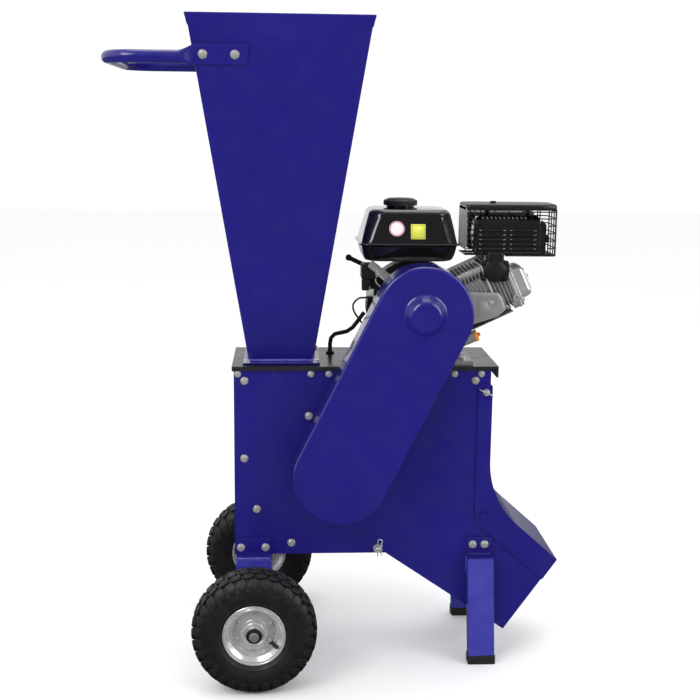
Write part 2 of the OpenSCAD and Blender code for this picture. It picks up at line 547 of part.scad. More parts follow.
module fuel_tank() F() color(black) difference() {
    union() {
        hull() { tank_shell(219, 430, -62, 128, 913, 24); tank_shell(225, 424, -56, 122, 930, 30); tank_shell(240, 412, -41, 106, 980, 30); tank_shell(252, 400, -30, 96, 985, 26); }
        rblock(214, 434, -66, 132, 909.5, 913.5, 24);
        hull() { tank_shell(220, 429, -61, 127, 909, 24); tank_shell(232, 420, -52, 118, 874, 30); }
        translate([312, 20, 984]) cylinder(r = 30, h = 6);
    }
    // fuel space and filler
    hull() { tank_shell(222, 427, -59, 125, 915, 22); tank_shell(243, 409, -37, 103, 978, 28); tank_shell(255, 397, -27, 93, 982, 24); }
    hull() { tank_shell(223, 426, -58, 124, 915.5, 22); tank_shell(235, 417, -49, 115, 877, 28); }
    translate([312, 20, 960]) cylinder(r = 25, h = 40);
}
module tank_cap() F() color(black) {
    translate([312, 20, 990.2]) difference() { cylinder(r = 37, h = 12, $fn = 64); for (a = [0:15:359]) rotate([0, 0, a]) translate([38.6, 0, -1]) cylinder(r = 2.6, h = 20, $fn = 16); }
    translate([312, 20, 1002]) cylinder(r = 30, h = 3.2, $fn = 64);
    translate([312, 20, 972]) cylinder(r = 24.94, h = 19);
}
module muffler() F() color(black) difference() {
    union() {
        rblock(457, 601, -92, -26, 900, 976, 16);
        for (z = [917:11:966]) block(470, 588, -94.5, -91.5, z, z + 5.5);
        // exhaust elbow down to the near face of the head
        block(480, 525, -104, -90, 893.5, 913);
        block(480, 525, -104, -92.4, 862, 894);
        block(474, 531, -104, -92.4, 839.5, 866);
    }
    rblock(460, 598, -89, -29, 903, 973, 13);
    translate([502, 0, 0]) block(-16, 16, -101, -95, 845, 909);
    translate([502, 0, 0]) block(-16, 16, -101, -85, 896.5, 909);
    rod_y(502, 852, 9, -99, -90, 32);
}
module cage_ring(x, r, y0, y1, z0, z1) {
    rod_y(x, z1, r, y0, y1, 12); rod_y(x, z0, r, y0, y1, 12);
    for (y = [y0, y1]) translate([x, y, z0]) cylinder(r = r, h = z1 - z0, $fn = 12);
}
module muffler_cage() F() color(dark) {
    block(436, 630, -108, -6, 998.5, 1001);
    block(436, 630, -108, -106, 987, 999);
    block(436, 438.5, -108, -6, 907, 999);
    for (z = [894:14:984]) rod_y(628.5, z, 1.5, -106.5, -8, 12);
    for (y = [-106.5:14:-8]) translate([628.5, y, 894]) cylinder(r = 1.5, h = 105, $fn = 12);
    for (z = [894, 908, 950]) rod_x(-106.5, z, 1.5, 437.5, 628.5, 12);
    rod_x(-8, 894, 1.5, 437.5, 628.5, 12);
    translate([437.5, -106.5, 894]) cylinder(r = 1.5, h = 16, $fn = 12);
    for (x = [604:12:628]) translate([x, -106.5, 894]) cylinder(r = 1.5, h = 105, $fn = 12);
    // stand-offs to the muffler
    translate([500, -60, 976.05]) cylinder(r = 5, h = 23, $fn = 24);
    translate([570, -60, 976.05]) cylinder(r = 5, h = 23, $fn = 24);
}
module control_box() F() color(black) {
    block(226, 256, -44, 2, 838, 868);
    block(228, 246, -38, -8, 820, 838);
    rod_y(246, 856, 4, 2, 9, 32);
    rod_y(246, 856, 6.5, 7.4, 10, 32);
    rod_y(237, 829, 2.5, -8.5, -3.4, 24);
    // bracket down to the crankcase
    block(246, 262, -30, -26, 799, 838.5);
    block(246, 271.9, -30, -26, 800, 812);
}
module stop_switch() F() color([0.7, 0.1, 0.1]) lever_y(237, 829, -7.6, 3.6, 7, 90, 5.5, 2.56);
module oil_cap() F() color([0.85, 0.45, 0.1]) oil_axis() {
    translate([0, 0, 36]) cylinder(r = 8.5, h = 23, $fn = 32);
    difference() { translate([0, 0, 58.2]) cylinder(r = 12.8, h = 14, $fn = 48); translate([0, 0, 64]) { block(-20, 20, 4, 20, 0, 12); block(-20, 20, -20, -4, 0, 12); } }
}

// black cable that runs from the engine down through a grommet in the plate; both ends are held
cable_pts = [[238, 40, 752], [226, 40, 735], [213, 40, 718], [200, 40, 709], [186, 40, 706], [173, 40, 703], [165, 40, 694], [163, 40, 682], [163, 40, 670], [163, 40, 658]];
cable_r = 4.8;
function vsub(a, b) = a - b;
function unit(v) = v / norm(v);
module switch_cable() F() color(black) {
    n = len(cable_pts); m = 10;
    tang = [for (i = [0:n - 1]) unit(vsub(cable_pts[min(i + 1, n - 1)], cable_pts[max(i - 1, 0)]))];
    pts = [for (i = [0:n - 1]) for (k = [0:m - 1]) let (a = 360 * k / m, side = [0, 1, 0], up = cross(tang[i], side)) cable_pts[i] + cable_r * (cos(a) * side + sin(a) * up)];
    polyhedron(points = pts, faces = concat(
        [[for (k = [0:m - 1]) k]],
        [[for (k = [m - 1:-1:0]) (n - 1) * m + k]],
        [for (i = [0:n - 2]) for (k = [0:m - 1]) [i * m + k, (i + 1) * m + k, (i + 1) * m + (k + 1) % m, i * m + (k + 1) % m]]), convexity = 4);
    difference() { translate([163, 40, plate_z - 8]) cylinder(r = 9, h = 12, $fn = 32); translate([163, 40, plate_z - 9]) cylinder(r = 5, h = 20, $fn = 32); }
}

// ---------------------------------------------------------------- fasteners
module chamber_bolts() F() color(zinc) {
    both() {
        for (b = concat(top_bolts)) bolt_near(b[0], b[1], -half_w, 8, 4, 5.6);
        for (b = edge_bolts) bolt_near(b[0], b[1], -half_w, 8);
        for (s = stays) { rod_y(s[0], s[1], 8.8, -half_w - 1.6, -half_w, 32); rod_y(s[0], s[1], 7.2, -half_w - 6.6, -half_w - 1.6, 6); rod_y(s[0], s[1], 4, -half_w, -in_w, 24); }
        hinge_bolt();
    }
    for (b = hopper_bolts) bolt_down(b[0], b[1], hop_z0, 9);
    bolt_near(113.5, 554.2, -half_w - 6.6, 10.6);
    both() for (x = [-95.8, -33.9]) translate([x, -hy, hz]) rotate([hop_ang, 0, 0]) bolt_near(0, 0, -6, 8.6);
}
module frame_bolts() F() color(zinc) {
    both() {
        for (b = concat(leg_bolts, wheel_leg_bolts)) bolt_near(b[0], b[1], -half_w - 4, 8);
        for (b = housing_bolts) bolt_near(rx + b[0], rz + b[1], -half_w - 11, 15);
    }
    for (b = engine_bolts) bolt_down(b[0], b[1], base_z + 9, 14);
}

top_plate();
near_panel();
far_panel();
back_wall();
bottom_plate();
chute_floor();
header_plate();
discharge_cover();
cover_wing_nuts();
hopper();
handle();
screen();
screen_stays();
screen_rod();
rotor_shaft();
rotor_discs();
hammers_a();
hammers_b();
blades();
bearing_housings();
rotor_pulley();
clutch_pulley();
drive_belt();
belt_guard();
axle();
wheel_legs();
near_tyre();
far_tyre();
near_rim();
far_rim();
axle_retainers();
front_legs();
leg_feet();
crankcase();
side_cover();
crankshaft();
flywheel();
cylinder_barrel();
cylinder_head();
rocker_cover();
spark_plug();
cylinder_shroud();
fan_housing();
recoil_cover();
starter_grip();
carburettor();
air_cleaner();
choke_lever();
fuel_tap();
throttle_lever();
fuel_tank();
tank_cap();
muffler();
muffler_cage();
control_box();
stop_switch();
oil_cap();
switch_cable();
chamber_bolts();
frame_bolts();
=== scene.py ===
import json
import math

import bmesh
import bpy
from mathutils import Matrix, Vector, noise


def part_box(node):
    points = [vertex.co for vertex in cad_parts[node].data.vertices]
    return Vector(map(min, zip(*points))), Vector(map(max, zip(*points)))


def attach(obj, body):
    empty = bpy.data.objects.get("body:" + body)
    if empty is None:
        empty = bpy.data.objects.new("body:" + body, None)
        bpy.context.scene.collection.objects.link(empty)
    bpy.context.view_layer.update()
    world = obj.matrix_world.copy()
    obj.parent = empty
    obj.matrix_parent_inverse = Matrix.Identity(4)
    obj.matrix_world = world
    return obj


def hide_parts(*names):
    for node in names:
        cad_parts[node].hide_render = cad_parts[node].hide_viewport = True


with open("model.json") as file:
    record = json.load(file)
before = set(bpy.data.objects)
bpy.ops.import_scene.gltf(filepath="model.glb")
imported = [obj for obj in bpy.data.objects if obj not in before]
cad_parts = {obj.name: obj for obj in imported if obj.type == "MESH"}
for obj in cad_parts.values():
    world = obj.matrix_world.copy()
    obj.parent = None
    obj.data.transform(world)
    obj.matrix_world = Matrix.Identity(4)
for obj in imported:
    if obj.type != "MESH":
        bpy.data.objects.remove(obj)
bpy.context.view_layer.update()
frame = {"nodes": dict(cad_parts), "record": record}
NODES = frame["nodes"]
scene = bpy.context.scene

# The shapes below are written in millimetres from the wheel axle's plane: X towards the
# chute, Y away from the belt guard, Z up. OX is the shift from there to the row frame.
_a, _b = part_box("axle")
OX = -(_a.x + _b.x) / 2 * 1000


# ------------------------------------------------------------------ camera
def camera():
    f, yaw, pitch, roll = 1149.42, -0.05781, 0.18987, 0.0110
    right = Vector((math.cos(yaw), math.sin(yaw), 0))
    fwd = Vector((-math.sin(yaw), math.cos(yaw), 0))
    up = Vector((0, 0, 1))
    f2 = math.cos(pitch) * fwd - math.sin(pitch) * up
    u2 = math.cos(pitch) * up + math.sin(pitch) * fwd
    r3 = math.cos(roll) * right + math.sin(roll) * u2
    u3 = math.cos(roll) * u2 - math.sin(roll) * right
    data = bpy.data.cameras.new("view")
    data.sensor_width = 36.0
    data.lens = f / 700 * 36.0
    data.clip_start, data.clip_end = 0.05, 60
    cam = bpy.data.objects.new("view", data)
    m = Matrix((
        (r3.x, u3.x, -f2.x, -0.11799),
        (r3.y, u3.y, -f2.y, -2.47055),
        (r3.z, u3.z, -f2.z, 1.15009),
        (0, 0, 0, 1)))
    cam.matrix_world = m
    scene.collection.objects.link(cam)
    scene.camera = cam


camera()


# ------------------------------------------------------------------ materials
def new_mat(name):
    m = bpy.data.materials.new(name)
    m.use_nodes = True
    nt = m.node_tree
    nt.nodes.clear()
    out = nt.nodes.new("ShaderNodeOutputMaterial")
    b = nt.nodes.new("ShaderNodeBsdfPrincipled")
    nt.links.new(b.outputs[0], out.inputs[0])
    tc = nt.nodes.new("ShaderNodeTexCoord")
    return m, nt, b, tc


def noise_tex(nt, tc, scale, detail=3.0, rough=0.5, stretch=None):
    n = nt.nodes.new("ShaderNodeTexNoise")
    n.inputs["Scale"].default_value = scale
    n.inputs["Detail"].default_value = detail
    n.inputs["Roughness"].default_value = rough
    if stretch:
        mp = nt.nodes.new("ShaderNodeMapping")
        mp.inputs["Scale"].default_value = stretch
        nt.links.new(tc.outputs["Object"], mp.inputs["Vector"])
        nt.links.new(mp.outputs[0], n.inputs["Vector"])
    else:
        nt.links.new(tc.outputs["Object"], n.inputs["Vector"])
    return n


def ramp(nt, src, stops):
    r = nt.nodes.new("ShaderNodeValToRGB")
    el = r.color_ramp.elements
    el[0].position, el[0].color = stops[0][0], (*stops[0][1], 1)
    el[1].position, el[1].color = stops[-1][0], (*stops[-1][1], 1)
    for p, c in stops[1:-1]:
        e = el.new(p)
        e.color = (*c, 1)
    nt.links.new(src, r.inputs[0])
    return r


def maprange(nt, src, a, b, lo=0.3, hi=0.7):
    r = nt.nodes.new("ShaderNodeMapRange")
    r.inputs["From Min"].default_value = lo
    r.inputs["From Max"].default_value = hi
    r.inputs["To Min"].default_value = a
    r.inputs["To Max"].default_value = b
    nt.links.new(src, r.inputs["Value"])
    return r


def tint(c, k):
    return tuple(max(0.0, x * k) for x in c)


def surface(name, col, rough, metal=0.0, var=0.12, rvar=0.06, cscale=18.0, rscale=40.0,
            bumps=((600.0, 0.02, 0.0004),), coat=0.0, coat_rough=0.08, spec=0.5,
            specks=None, stretch=None, up_face_pale=None):
    """Colour, gloss and relief that all vary a little over the surface, from noise in the piece's own space."""
    m, nt, b, tc = new_mat(name)
    n1 = noise_tex(nt, tc, cscale, 4.0, 0.55, stretch)
    r = ramp(nt, n1.outputs["Fac"], [(0.3, tint(col, 1 - var)), (0.55, col), (0.75, tint(col, 1 + var))])
    colour = r.outputs["Color"]
    if specks:
        sc, amount, c2 = specks
        n3 = noise_tex(nt, tc, sc, 2.0, 0.5)
        rr = ramp(nt, n3.outputs["Fac"], [(1 - amount - 0.03, (0, 0, 0)), (1 - amount, (1, 1, 1))])
        mix = nt.nodes.new("ShaderNodeMix")
        mix.data_type = "RGBA"
        nt.links.new(rr.outputs["Color"], mix.inputs["Factor"])
        nt.links.new(colour, mix.inputs["A"])
        mix.inputs["B"].default_value = (*c2, 1)
        colour = mix.outputs["Result"]
    if up_face_pale:
        # a paler grey, broken by noise, on faces that look up
        amount, c2 = up_face_pale
        geo = nt.nodes.new("ShaderNodeNewGeometry")
        sep = nt.nodes.new("ShaderNodeSeparateXYZ")
        nt.links.new(geo.outputs["Normal"], sep.inputs[0])
        up = maprange(nt, sep.outputs["Z"], 0.0, amount, 0.3, 1.0)
        n4 = noise_tex(nt, tc, 60, 5.0, 0.6)
        mul = nt.nodes.new("ShaderNodeMath")
        mul.operation = "MULTIPLY"
        nt.links.new(up.outputs[0], mul.inputs[0])
        nt.links.new(n4.outputs["Fac"], mul.inputs[1])
        mix = nt.nodes.new("ShaderNodeMix")
        mix.data_type = "RGBA"
        nt.links.new(mul.outputs[0], mix.inputs["Factor"])
        nt.links.new(colour, mix.inputs["A"])
        mix.inputs["B"].default_value = (*c2, 1)
        colour = mix.outputs["Result"]
    nt.links.new(colour, b.inputs["Base Color"])
    n2 = noise_tex(nt, tc, rscale, 5.0, 0.6, stretch)
    rg = maprange(nt, n2.outputs["Fac"], max(0.02, rough - rvar), min(1.0, rough + rvar))
    nt.links.new(rg.outputs[0], b.inputs["Roughness"])
    b.inputs["Metallic"].default_value = metal
    b.inputs["Coat Weight"].default_value = coat
    b.inputs["Coat Roughness"].default_value = coat_rough
    b.inputs["Specular IOR Level"].default_value = spec
    normal = None
    for sc, strength, dist in bumps:
        nb = noise_tex(nt, tc, sc, 2.0, 0.5, stretch)
        bp = nt.nodes.new("ShaderNodeBump")
        bp.inputs["Strength"].default_value = min(1.0, strength)
        bp.inputs["Distance"].default_value = dist
        nt.links.new(nb.outputs["Fac"], bp.inputs["Height"])
        if normal is not None:
            nt.links.new(normal, bp.inputs["Normal"])
        normal = bp.outputs["Normal"]
    if normal is not None:
        nt.links.new(normal, b.inputs["Normal"])
    return m


MAT = {
    "blue_paint": surface("blue_paint", (0.0108, 0.0078, 0.160), 0.22, var=0.10, rvar=0.05,
                          cscale=7, rscale=22, bumps=((330, 0.10, 0.0003), (9, 0.10, 0.004)), coat=0.55, coat_rough=0.07),
    "dark_paint": surface("dark_paint", (0.018, 0.019, 0.024), 0.26, var=0.25, rvar=0.08, cscale=14, rscale=30,
                          bumps=((400, 0.12, 0.0003),), coat=0.10, coat_rough=0.2, spec=0.32, up_face_pale=(0.06, (0.10, 0.10, 0.10))),
    "zinc_plate": surface("zinc_plate", (0.72, 0.715, 0.71), 0.24, metal=0.70, var=0.05, rvar=0.05, cscale=50, rscale=90,
                          bumps=((500, 0.03, 0.0002),)),
    "bare_steel": surface("bare_steel", (0.42, 0.42, 0.43), 0.34, metal=0.75, var=0.18, rvar=0.12, cscale=40, rscale=140,
                          bumps=((500, 0.20, 0.0002),), stretch=(1, 0.12, 1)),
    "cast_iron": surface("cast_iron", (0.030, 0.031, 0.036), 0.42, var=0.25, rvar=0.10, cscale=40, rscale=90,
                         bumps=((420, 0.55, 0.0006), (60, 0.2, 0.002))),
    "cast_aluminium": surface("cast_aluminium", (0.46, 0.455, 0.45), 0.40, metal=0.62, var=0.16, rvar=0.12, cscale=35, rscale=110,
                              bumps=((520, 0.55, 0.0005), (60, 0.15, 0.002)), specks=(300, 0.33, (0.24, 0.24, 0.25))),
    "shroud_steel": surface("shroud_steel", (0.36, 0.355, 0.35), 0.38, metal=0.45, var=0.10, rvar=0.08, cscale=20, rscale=60,
                            bumps=((300, 0.10, 0.0003),), coat=0.2),
    "chrome": surface("chrome", (0.66, 0.66, 0.68), 0.16, metal=0.72, var=0.05, rvar=0.05, cscale=30, rscale=70,
                      bumps=((60, 0.06, 0.001),)),
    "belt_rubber": surface("belt_rubber", (0.016, 0.016, 0.017), 0.62, var=0.25, rvar=0.10, cscale=60, rscale=120,
                           bumps=((900, 0.35, 0.0003),)),
    "tyre_rubber": surface("tyre_rubber", (0.0085, 0.0082, 0.0088), 0.50, var=0.30, rvar=0.12, cscale=45, rscale=70,
                           bumps=((800, 0.30, 0.0003), (90, 0.15, 0.001)), specks=(260, 0.20, (0.015, 0.014, 0.014))),
    "black_plastic": surface("black_plastic", (0.010, 0.010, 0.012), 0.40, var=0.15, rvar=0.08, cscale=50, rscale=90,
                             bumps=((1100, 0.30, 0.0002),)),
    "black_enamel": surface("black_enamel", (0.0055, 0.0055, 0.0065), 0.10, var=0.15, rvar=0.04, cscale=15, rscale=30,
                            bumps=((14, 0.05, 0.003),), coat=0.9, coat_rough=0.03),
    "black_sheet": surface("black_sheet", (0.009, 0.009, 0.010), 0.36, var=0.2, rvar=0.10, cscale=40, rscale=80,
                           bumps=((600, 0.30, 0.0003),)),
    "red_plastic": surface("red_plastic", (0.50, 0.020, 0.018), 0.28, var=0.08, rvar=0.05, cscale=60, rscale=90,
                           bumps=((900, 0.15, 0.0002),), coat=0.3),
    "orange_plastic": surface("orange_plastic", (0.78, 0.26, 0.035), 0.34, var=0.10, rvar=0.06, cscale=60, rscale=90,
                              bumps=((900, 0.20, 0.0002),)),
}
SLOT = {r["node"]: r["material_slot"] for r in frame["record"]["subparts"]}


# ------------------------------------------------------------------ carried-over CAD nodes
def dress(node, width=0.0007, seg=2, angle=32.0, mat=None):
    """The node keeps its mesh. Its edges get a small round and its slot's finish."""
    o = NODES[node]
    me = o.data
    if "custom_normal" in me.attributes:
        me.attributes.remove(me.attributes["custom_normal"])
    for at in ("sharp_face", "sharp_edge"):
        if at in me.attributes:
            me.attributes.remove(me.attributes[at])
    me.materials.clear()
    me.materials.append(mat or MAT[SLOT[node]])
    for p in me.polygons:
        p.use_smooth = True
        p.material_index = 0
    w = o.modifiers.new("join", "WELD")
    w.merge_threshold = 2e-5
    d = o.modifiers.new("flat", "DECIMATE")
    d.decimate_type = "DISSOLVE"
    d.angle_limit = math.radians(0.4)
    if width:
        bv = o.modifiers.new("round", "BEVEL")
        bv.width = width
        bv.segments = seg
        bv.limit_method = "ANGLE"
        bv.angle_limit = math.radians(angle)
        bv.use_clamp_overlap = True
        bv.miter_outer = "MITER_ARC" if seg > 1 else "MITER_SHARP"
    wn = o.modifiers.new("even", "WEIGHTED_NORMAL")
    wn.weight = 60
    wn.keep_sharp = False


def leg_paint_with_painted_sheen():
    """The body's paint on the fixing plates; on the tube below them a paler blue, which is painted sheen standing in
    for the light the tube's face catches.
    """
    m = surface("blue_paint_leg_painted_sheen", (0.0108, 0.0078, 0.160), 0.26, var=0.10, rvar=0.06,
                cscale=9, rscale=22, bumps=((330, 0.10, 0.0003), (9, 0.12, 0.004)), coat=0.55, coat_rough=0.10)
    nt = m.node_tree
    b = next(n for n in nt.nodes if n.type == "BSDF_PRINCIPLED")
    src = b.inputs["Base Color"].links[0].from_socket
    tc = nt.nodes.new("ShaderNodeTexCoord")
    sep = nt.nodes.new("ShaderNodeSeparateXYZ")
    nt.links.new(tc.outputs["Object"], sep.inputs[0])
    # mask for the tube under the plates: its paler blue is painted sheen, not a second coat
    low = maprange(nt, sep.outputs["Z"], 1.0, 0.0, 0.2395, 0.2425)
    n = noise_tex(nt, tc, 12, 3.0)
    r = ramp(nt, n.outputs["Fac"], [(0.3, (0.032, 0.030, 0.275)), (0.7, (0.044, 0.044, 0.33))])
    mix = nt.nodes.new("ShaderNodeMix")
    mix.data_type = "RGBA"
    nt.links.new(low.outputs[0], mix.inputs["Factor"])
    nt.links.new(src, mix.inputs["A"])
    nt.links.new(r.outputs["Color"], mix.inputs["B"])
    nt.links.new(mix.outputs["Result"], b.inputs["Base Color"])
    return m


LEG_PAINT_WITH_PAINTED_SHEEN = leg_paint_with_painted_sheen()
# weld beads: glossier than the body, and their paler blue is a painted highlight for the glints on them
WELD_PAINT_HIGHLIGHT = surface("blue_paint_weld_painted_highlight", (0.055, 0.050, 0.36), 0.12, var=0.12, rvar=0.05,
                     cscale=30, rscale=60, bumps=((500, 0.15, 0.0003),), coat=1.0, coat_rough=0.04, spec=0.8)
for _n in sorted(NODES):
    dress(_n, mat=LEG_PAINT_WITH_PAINTED_SHEEN if _n in ("front_legs", "wheel_legs") else None)


# ------------------------------------------------------------------ mesh tools, in millimetres
TAU = 2 * math.pi


def ring_verts(bm, pts):
    return [bm.verts.new(p) for p in pts]


def bridge(bm, a, b, closed=True):
    n = len(a)
    for i in range(n if closed else n - 1):
        j = (i + 1) % n
        bm.faces.new((a[i], a[j], b[j], b[i]))


def fan_cap(bm, ring, centre=None):
    c = Vector((0, 0, 0))
    for v in ring:
        c += v.co
    c /= len(ring)
    v0 = bm.verts.new(centre if centre is not None else c)
    n = len(ring)
    for i in range(n):
        bm.faces.new((ring[i], ring[(i + 1) % n], v0))


def loft(bm, rings, caps=True, loop=False, flat=False):
    """Skin over rings of equal counts. loop closes the last ring onto the first."""
    rr = [ring_verts(bm, r) for r in rings]
    for a, b in zip(rr, rr[1:]):
        bridge(bm, a, b)
    if loop:
        bridge(bm, rr[-1], rr[0])
    elif caps:
        if flat:
            bm.faces.new(list(reversed(rr[0])))
            bm.faces.new(rr[-1])
        else:
            fan_cap(bm, rr[0])
            fan_cap(bm, rr[-1])
    return rr


def rrect(x0, x1, y0, y1, r, n=6, edge=0):
    """Rounded rectangle as a list of (u, v), n segments a corner and edge extra points a side."""
    r = max(0.01, min(r, (x1 - x0) / 2 - 0.001, (y1 - y0) / 2 - 0.001))
    out = []
    for cx, cy, a0 in ((x1 - r, y0 + r, -90), (x1 - r, y1 - r, 0), (x0 + r, y1 - r, 90), (x0 + r, y0 + r, 180)):
        arc = [(cx + r * math.cos(math.radians(a0 + 90 * i / n)), cy + r * math.sin(math.radians(a0 + 90 * i / n)))
               for i in range(n + 1)]
        if edge and out:
            p, q = out[-1], arc[0]
            out += [(p[0] + (q[0] - p[0]) * k / (edge + 1), p[1] + (q[1] - p[1]) * k / (edge + 1)) for k in range(1, edge + 1)]
        out += arc
    if edge:
        p, q = out[-1], out[0]
        out += [(p[0] + (q[0] - p[0]) * k / (edge + 1), p[1] + (q[1] - p[1]) * k / (edge + 1)) for k in range(1, edge + 1)]
    return out


def fillet(pts, n=5, closed=False):
    """2D polyline of (a, b) or (a, b, r): corners with r are rounded."""
    out = []
    m = len(pts)
    for i, p in enumerate(pts):
        r = p[2] if len(p) > 2 else 0
        if r <= 0 or (not closed and i in (0, m - 1)):
            out.append((p[0], p[1]))
            continue
        p0, p1, p2 = Vector(pts[i - 1][:2]), Vector(p[:2]), Vector(pts[(i + 1) % m][:2])
        d0, d1 = (p0 - p1), (p2 - p1)
        l0, l1 = d0.length, d1.length
        if l0 < 1e-6 or l1 < 1e-6:
            out.append((p[0], p[1]))
            continue
        d0, d1 = d0 / l0, d1 / l1
        ang = math.acos(max(-1, min(1, d0.dot(d1))))
        if ang > math.radians(178):
            out.append((p[0], p[1]))
            continue
        t = min(r / math.tan(ang / 2), l0 * 0.49, l1 * 0.49)
        r = t * math.tan(ang / 2)
        bis = (d0 + d1).normalized()
        c = p1 + bis * (r / math.sin(ang / 2))
        a, b = p1 + d0 * t, p1 + d1 * t
        a0 = math.atan2(a.y - c.y, a.x - c.x)
        a1 = math.atan2(b.y - c.y, b.x - c.x)
        while a1 - a0 > math.pi:
            a1 -= TAU
        while a1 - a0 < -math.pi:
            a1 += TAU
        for k in range(n + 1):
            q = a0 + (a1 - a0) * k / n
            out.append((c.x + r * math.cos(q), c.y + r * math.sin(q)))
    return out


def frame_of(axis):
    w = Vector(axis).normalized()
    u = Vector((0, 0, 1)).cross(w)
    if u.length < 0.1:
        u = Vector((0, 1, 0)).cross(w)
    u.normalize()
    return u, w.cross(u), w


def lathe(bm, prof, origin=(0, 0, 0), axis=(0, 0, 1), seg=64, closed=True, wobble=None):
    """Turns a profile of (radius, along) about an axis. A closed profile makes a ring; an open one starts and ends on the axis or is capped."""
    u, v, w = frame_of(axis)
    o = Vector(origin)
    rows = []
    for r, t in prof:
        if r < 1e-6:
            rows.append([bm.verts.new(o + w * t)])
        else:
            row = []
            for i in range(seg):
                a = TAU * i / seg
                rr = r + (wobble(a, t) if wobble else 0)
                row.append(bm.verts.new(o + (u * math.cos(a) + v * math.sin(a)) * rr + w * t))
            rows.append(row)
    pairs = list(zip(rows, rows[1:])) + ([(rows[-1], rows[0])] if closed else [])
    for a, b in pairs:
        if len(a) == 1 and len(b) == 1:
            continue
        for i in range(seg):
            j = (i + 1) % seg
            if len(a) == 1:
                bm.faces.new((a[0], b[j], b[i]))
            elif len(b) == 1:
                bm.faces.new((a[i], a[j], b[0]))
            else:
                bm.faces.new((a[i], a[j], b[j], b[i]))
    if not closed:
        for row in (rows[0], rows[-1]):
            if len(row) > 1:
                fan_cap(bm, row)


def tube(bm, path, r, seg=12, closed=False, radius=None, scale=None):
    """Tube along points, with a frame carried along the path."""
    P = [Vector(p) for p in path]
    n = len(P)
    tang = []
    for i in range(n):
        a = P[(i - 1) % n] if (closed or i) else P[0]
        b = P[(i + 1) % n] if (closed or i < n - 1) else P[-1]
        tang.append((b - a).normalized())
    u = Vector((0, 0, 1)).cross(tang[0])
    if u.length < 0.1:
        u = Vector((1, 0, 0)).cross(tang[0])
    u.normalize()
    rings = []
    for i in range(n):
        t = tang[i]
        u = (u - t * u.dot(t)).normalized()
        v = t.cross(u)
        rr = radius(i / (n - 1)) if radius else r
        rings.append([P[i] + (u * math.cos(TAU * k / seg) + v * math.sin(TAU * k / seg)) * rr for k in range(seg)])
    loft(bm, rings, caps=not closed, loop=closed)


def smooth_path(pts, n=8):
    """Catmull-Rom through the points."""
    P = [Vector(p) for p in pts]
    P = [P[0] * 2 - P[1]] + P + [P[-1] * 2 - P[-2]]
    out = []
    for i in range(1, len(P) - 2):
        for k in range(n):
            t = k / n
            a, b, c, d = P[i - 1], P[i], P[i + 1], P[i + 2]
            out.append(0.5 * ((2 * b) + (c - a) * t + (2 * a - 5 * b + 4 * c - d) * t * t + (3 * b - a - 3 * c + d) * t ** 3))
    out.append(P[-2])
    return out


def prism(bm, pts, lo, hi, plane="xz"):
    """Solid between two copies of an outline. plane names the outline's axes; lo and hi are along the third."""
    def at(p, t):
        if plane == "xz":
            return (p[0], t, p[1])
        if plane == "yz":
            return (t, p[0], p[1])
        return (p[0], p[1], t)
    a = ring_verts(bm, [at(p, lo) for p in pts])
    b = ring_verts(bm, [at(p, hi) for p in pts])
    bridge(bm, a, b)
    bm.faces.new(list(reversed(a)))
    bm.faces.new(b)


def rbox(bm, x0, x1, y0, y1, z0, z1, r=2.0, seg=3, m=None):
    """A box whose twelve edges are rounded."""
    t = bmesh.new()
    bmesh.ops.create_cube(t, size=1)
    for v in t.verts:
        v.co = Vector(((x0 + x1) / 2 + v.co.x * (x1 - x0), (y0 + y1) / 2 + v.co.y * (y1 - y0), (z0 + z1) / 2 + v.co.z * (z1 - z0)))
    r = min(r, (x1 - x0) / 2.02, (y1 - y0) / 2.02, (z1 - z0) / 2.02)
    if r > 0.01:
        bmesh.ops.bevel(t, geom=list(t.edges), offset=r, segments=seg, profile=0.5, affect="EDGES", clamp_overlap=True)
    if m is not None:
        t.transform(m)
    me = bpy.data.meshes.new("tmp")
    t.to_mesh(me)
    t.free()
    bm.from_mesh(me)
    bpy.data.meshes.remove(me)


def hex_head(bm, p, axis, r=7.2, h=5.0, washer=8.8, wt=1.6, turn=0.0, shank=None, stub=0.0, dome=False):
    """Hex head with a chamfered top on a dished washer. p is the face it sits on, axis points outwards."""
    u, v, w = frame_of(axis)
    o = Vector(p)
    if washer:
        lathe(bm, fillet([(washer, -0.1), (washer, wt * 0.8, 0.5), (washer - 1.4, wt, 0.6), (0, wt)], 3) + [(0, -0.1)], o, axis, 28, closed=False)
    if dome:
        lathe(bm, fillet([(r * 0.98, wt * 0.5), (r * 0.98, wt + h * 0.35, 1.0), (r * 0.62, wt + h * 0.92, 2.5), (0, wt + h)], 4) + [(0, wt * 0.5)], o, axis, 28, closed=False)
        return
    rows = []
    for rad, t in ((r, wt * 0.5), (r, wt + h * 0.78), (r * 0.985, wt + h * 0.86), (r * 0.86, wt + h), (r * 0.30, wt + h), (r * 0.2, wt + h - 0.4)):
        row = []
        for k in range(24):
            a = TAU * k / 24 + turn
            sector = (TAU * k / 24) % (TAU / 6)
            hexr = rad * math.cos(TAU / 12) / math.cos(sector - TAU / 12)
            rr = hexr if t <= wt + h * 0.80 else min(hexr, rad * (0.95 if t < wt + h else 1.0))
            row.append(o + (u * math.cos(a) + v * math.sin(a)) * rr + w * t)
        rows.append(row)
    loft(bm, rows)
    if stub:
        lathe(bm, fillet([(0, wt), (3.9, wt), (3.9, wt + h + stub, 0.8), (0, wt + h + stub)], 3), o, axis, 20, closed=False)
    if shank:
        lathe(bm, [(0, 0), (3.95, 0), (3.95, -shank), (0, -shank)], o, axis, 16, closed=False)


SHIFT = Matrix.Translation((-OX / 1000, 0, 0)) @ Matrix.Scale(0.001, 4)


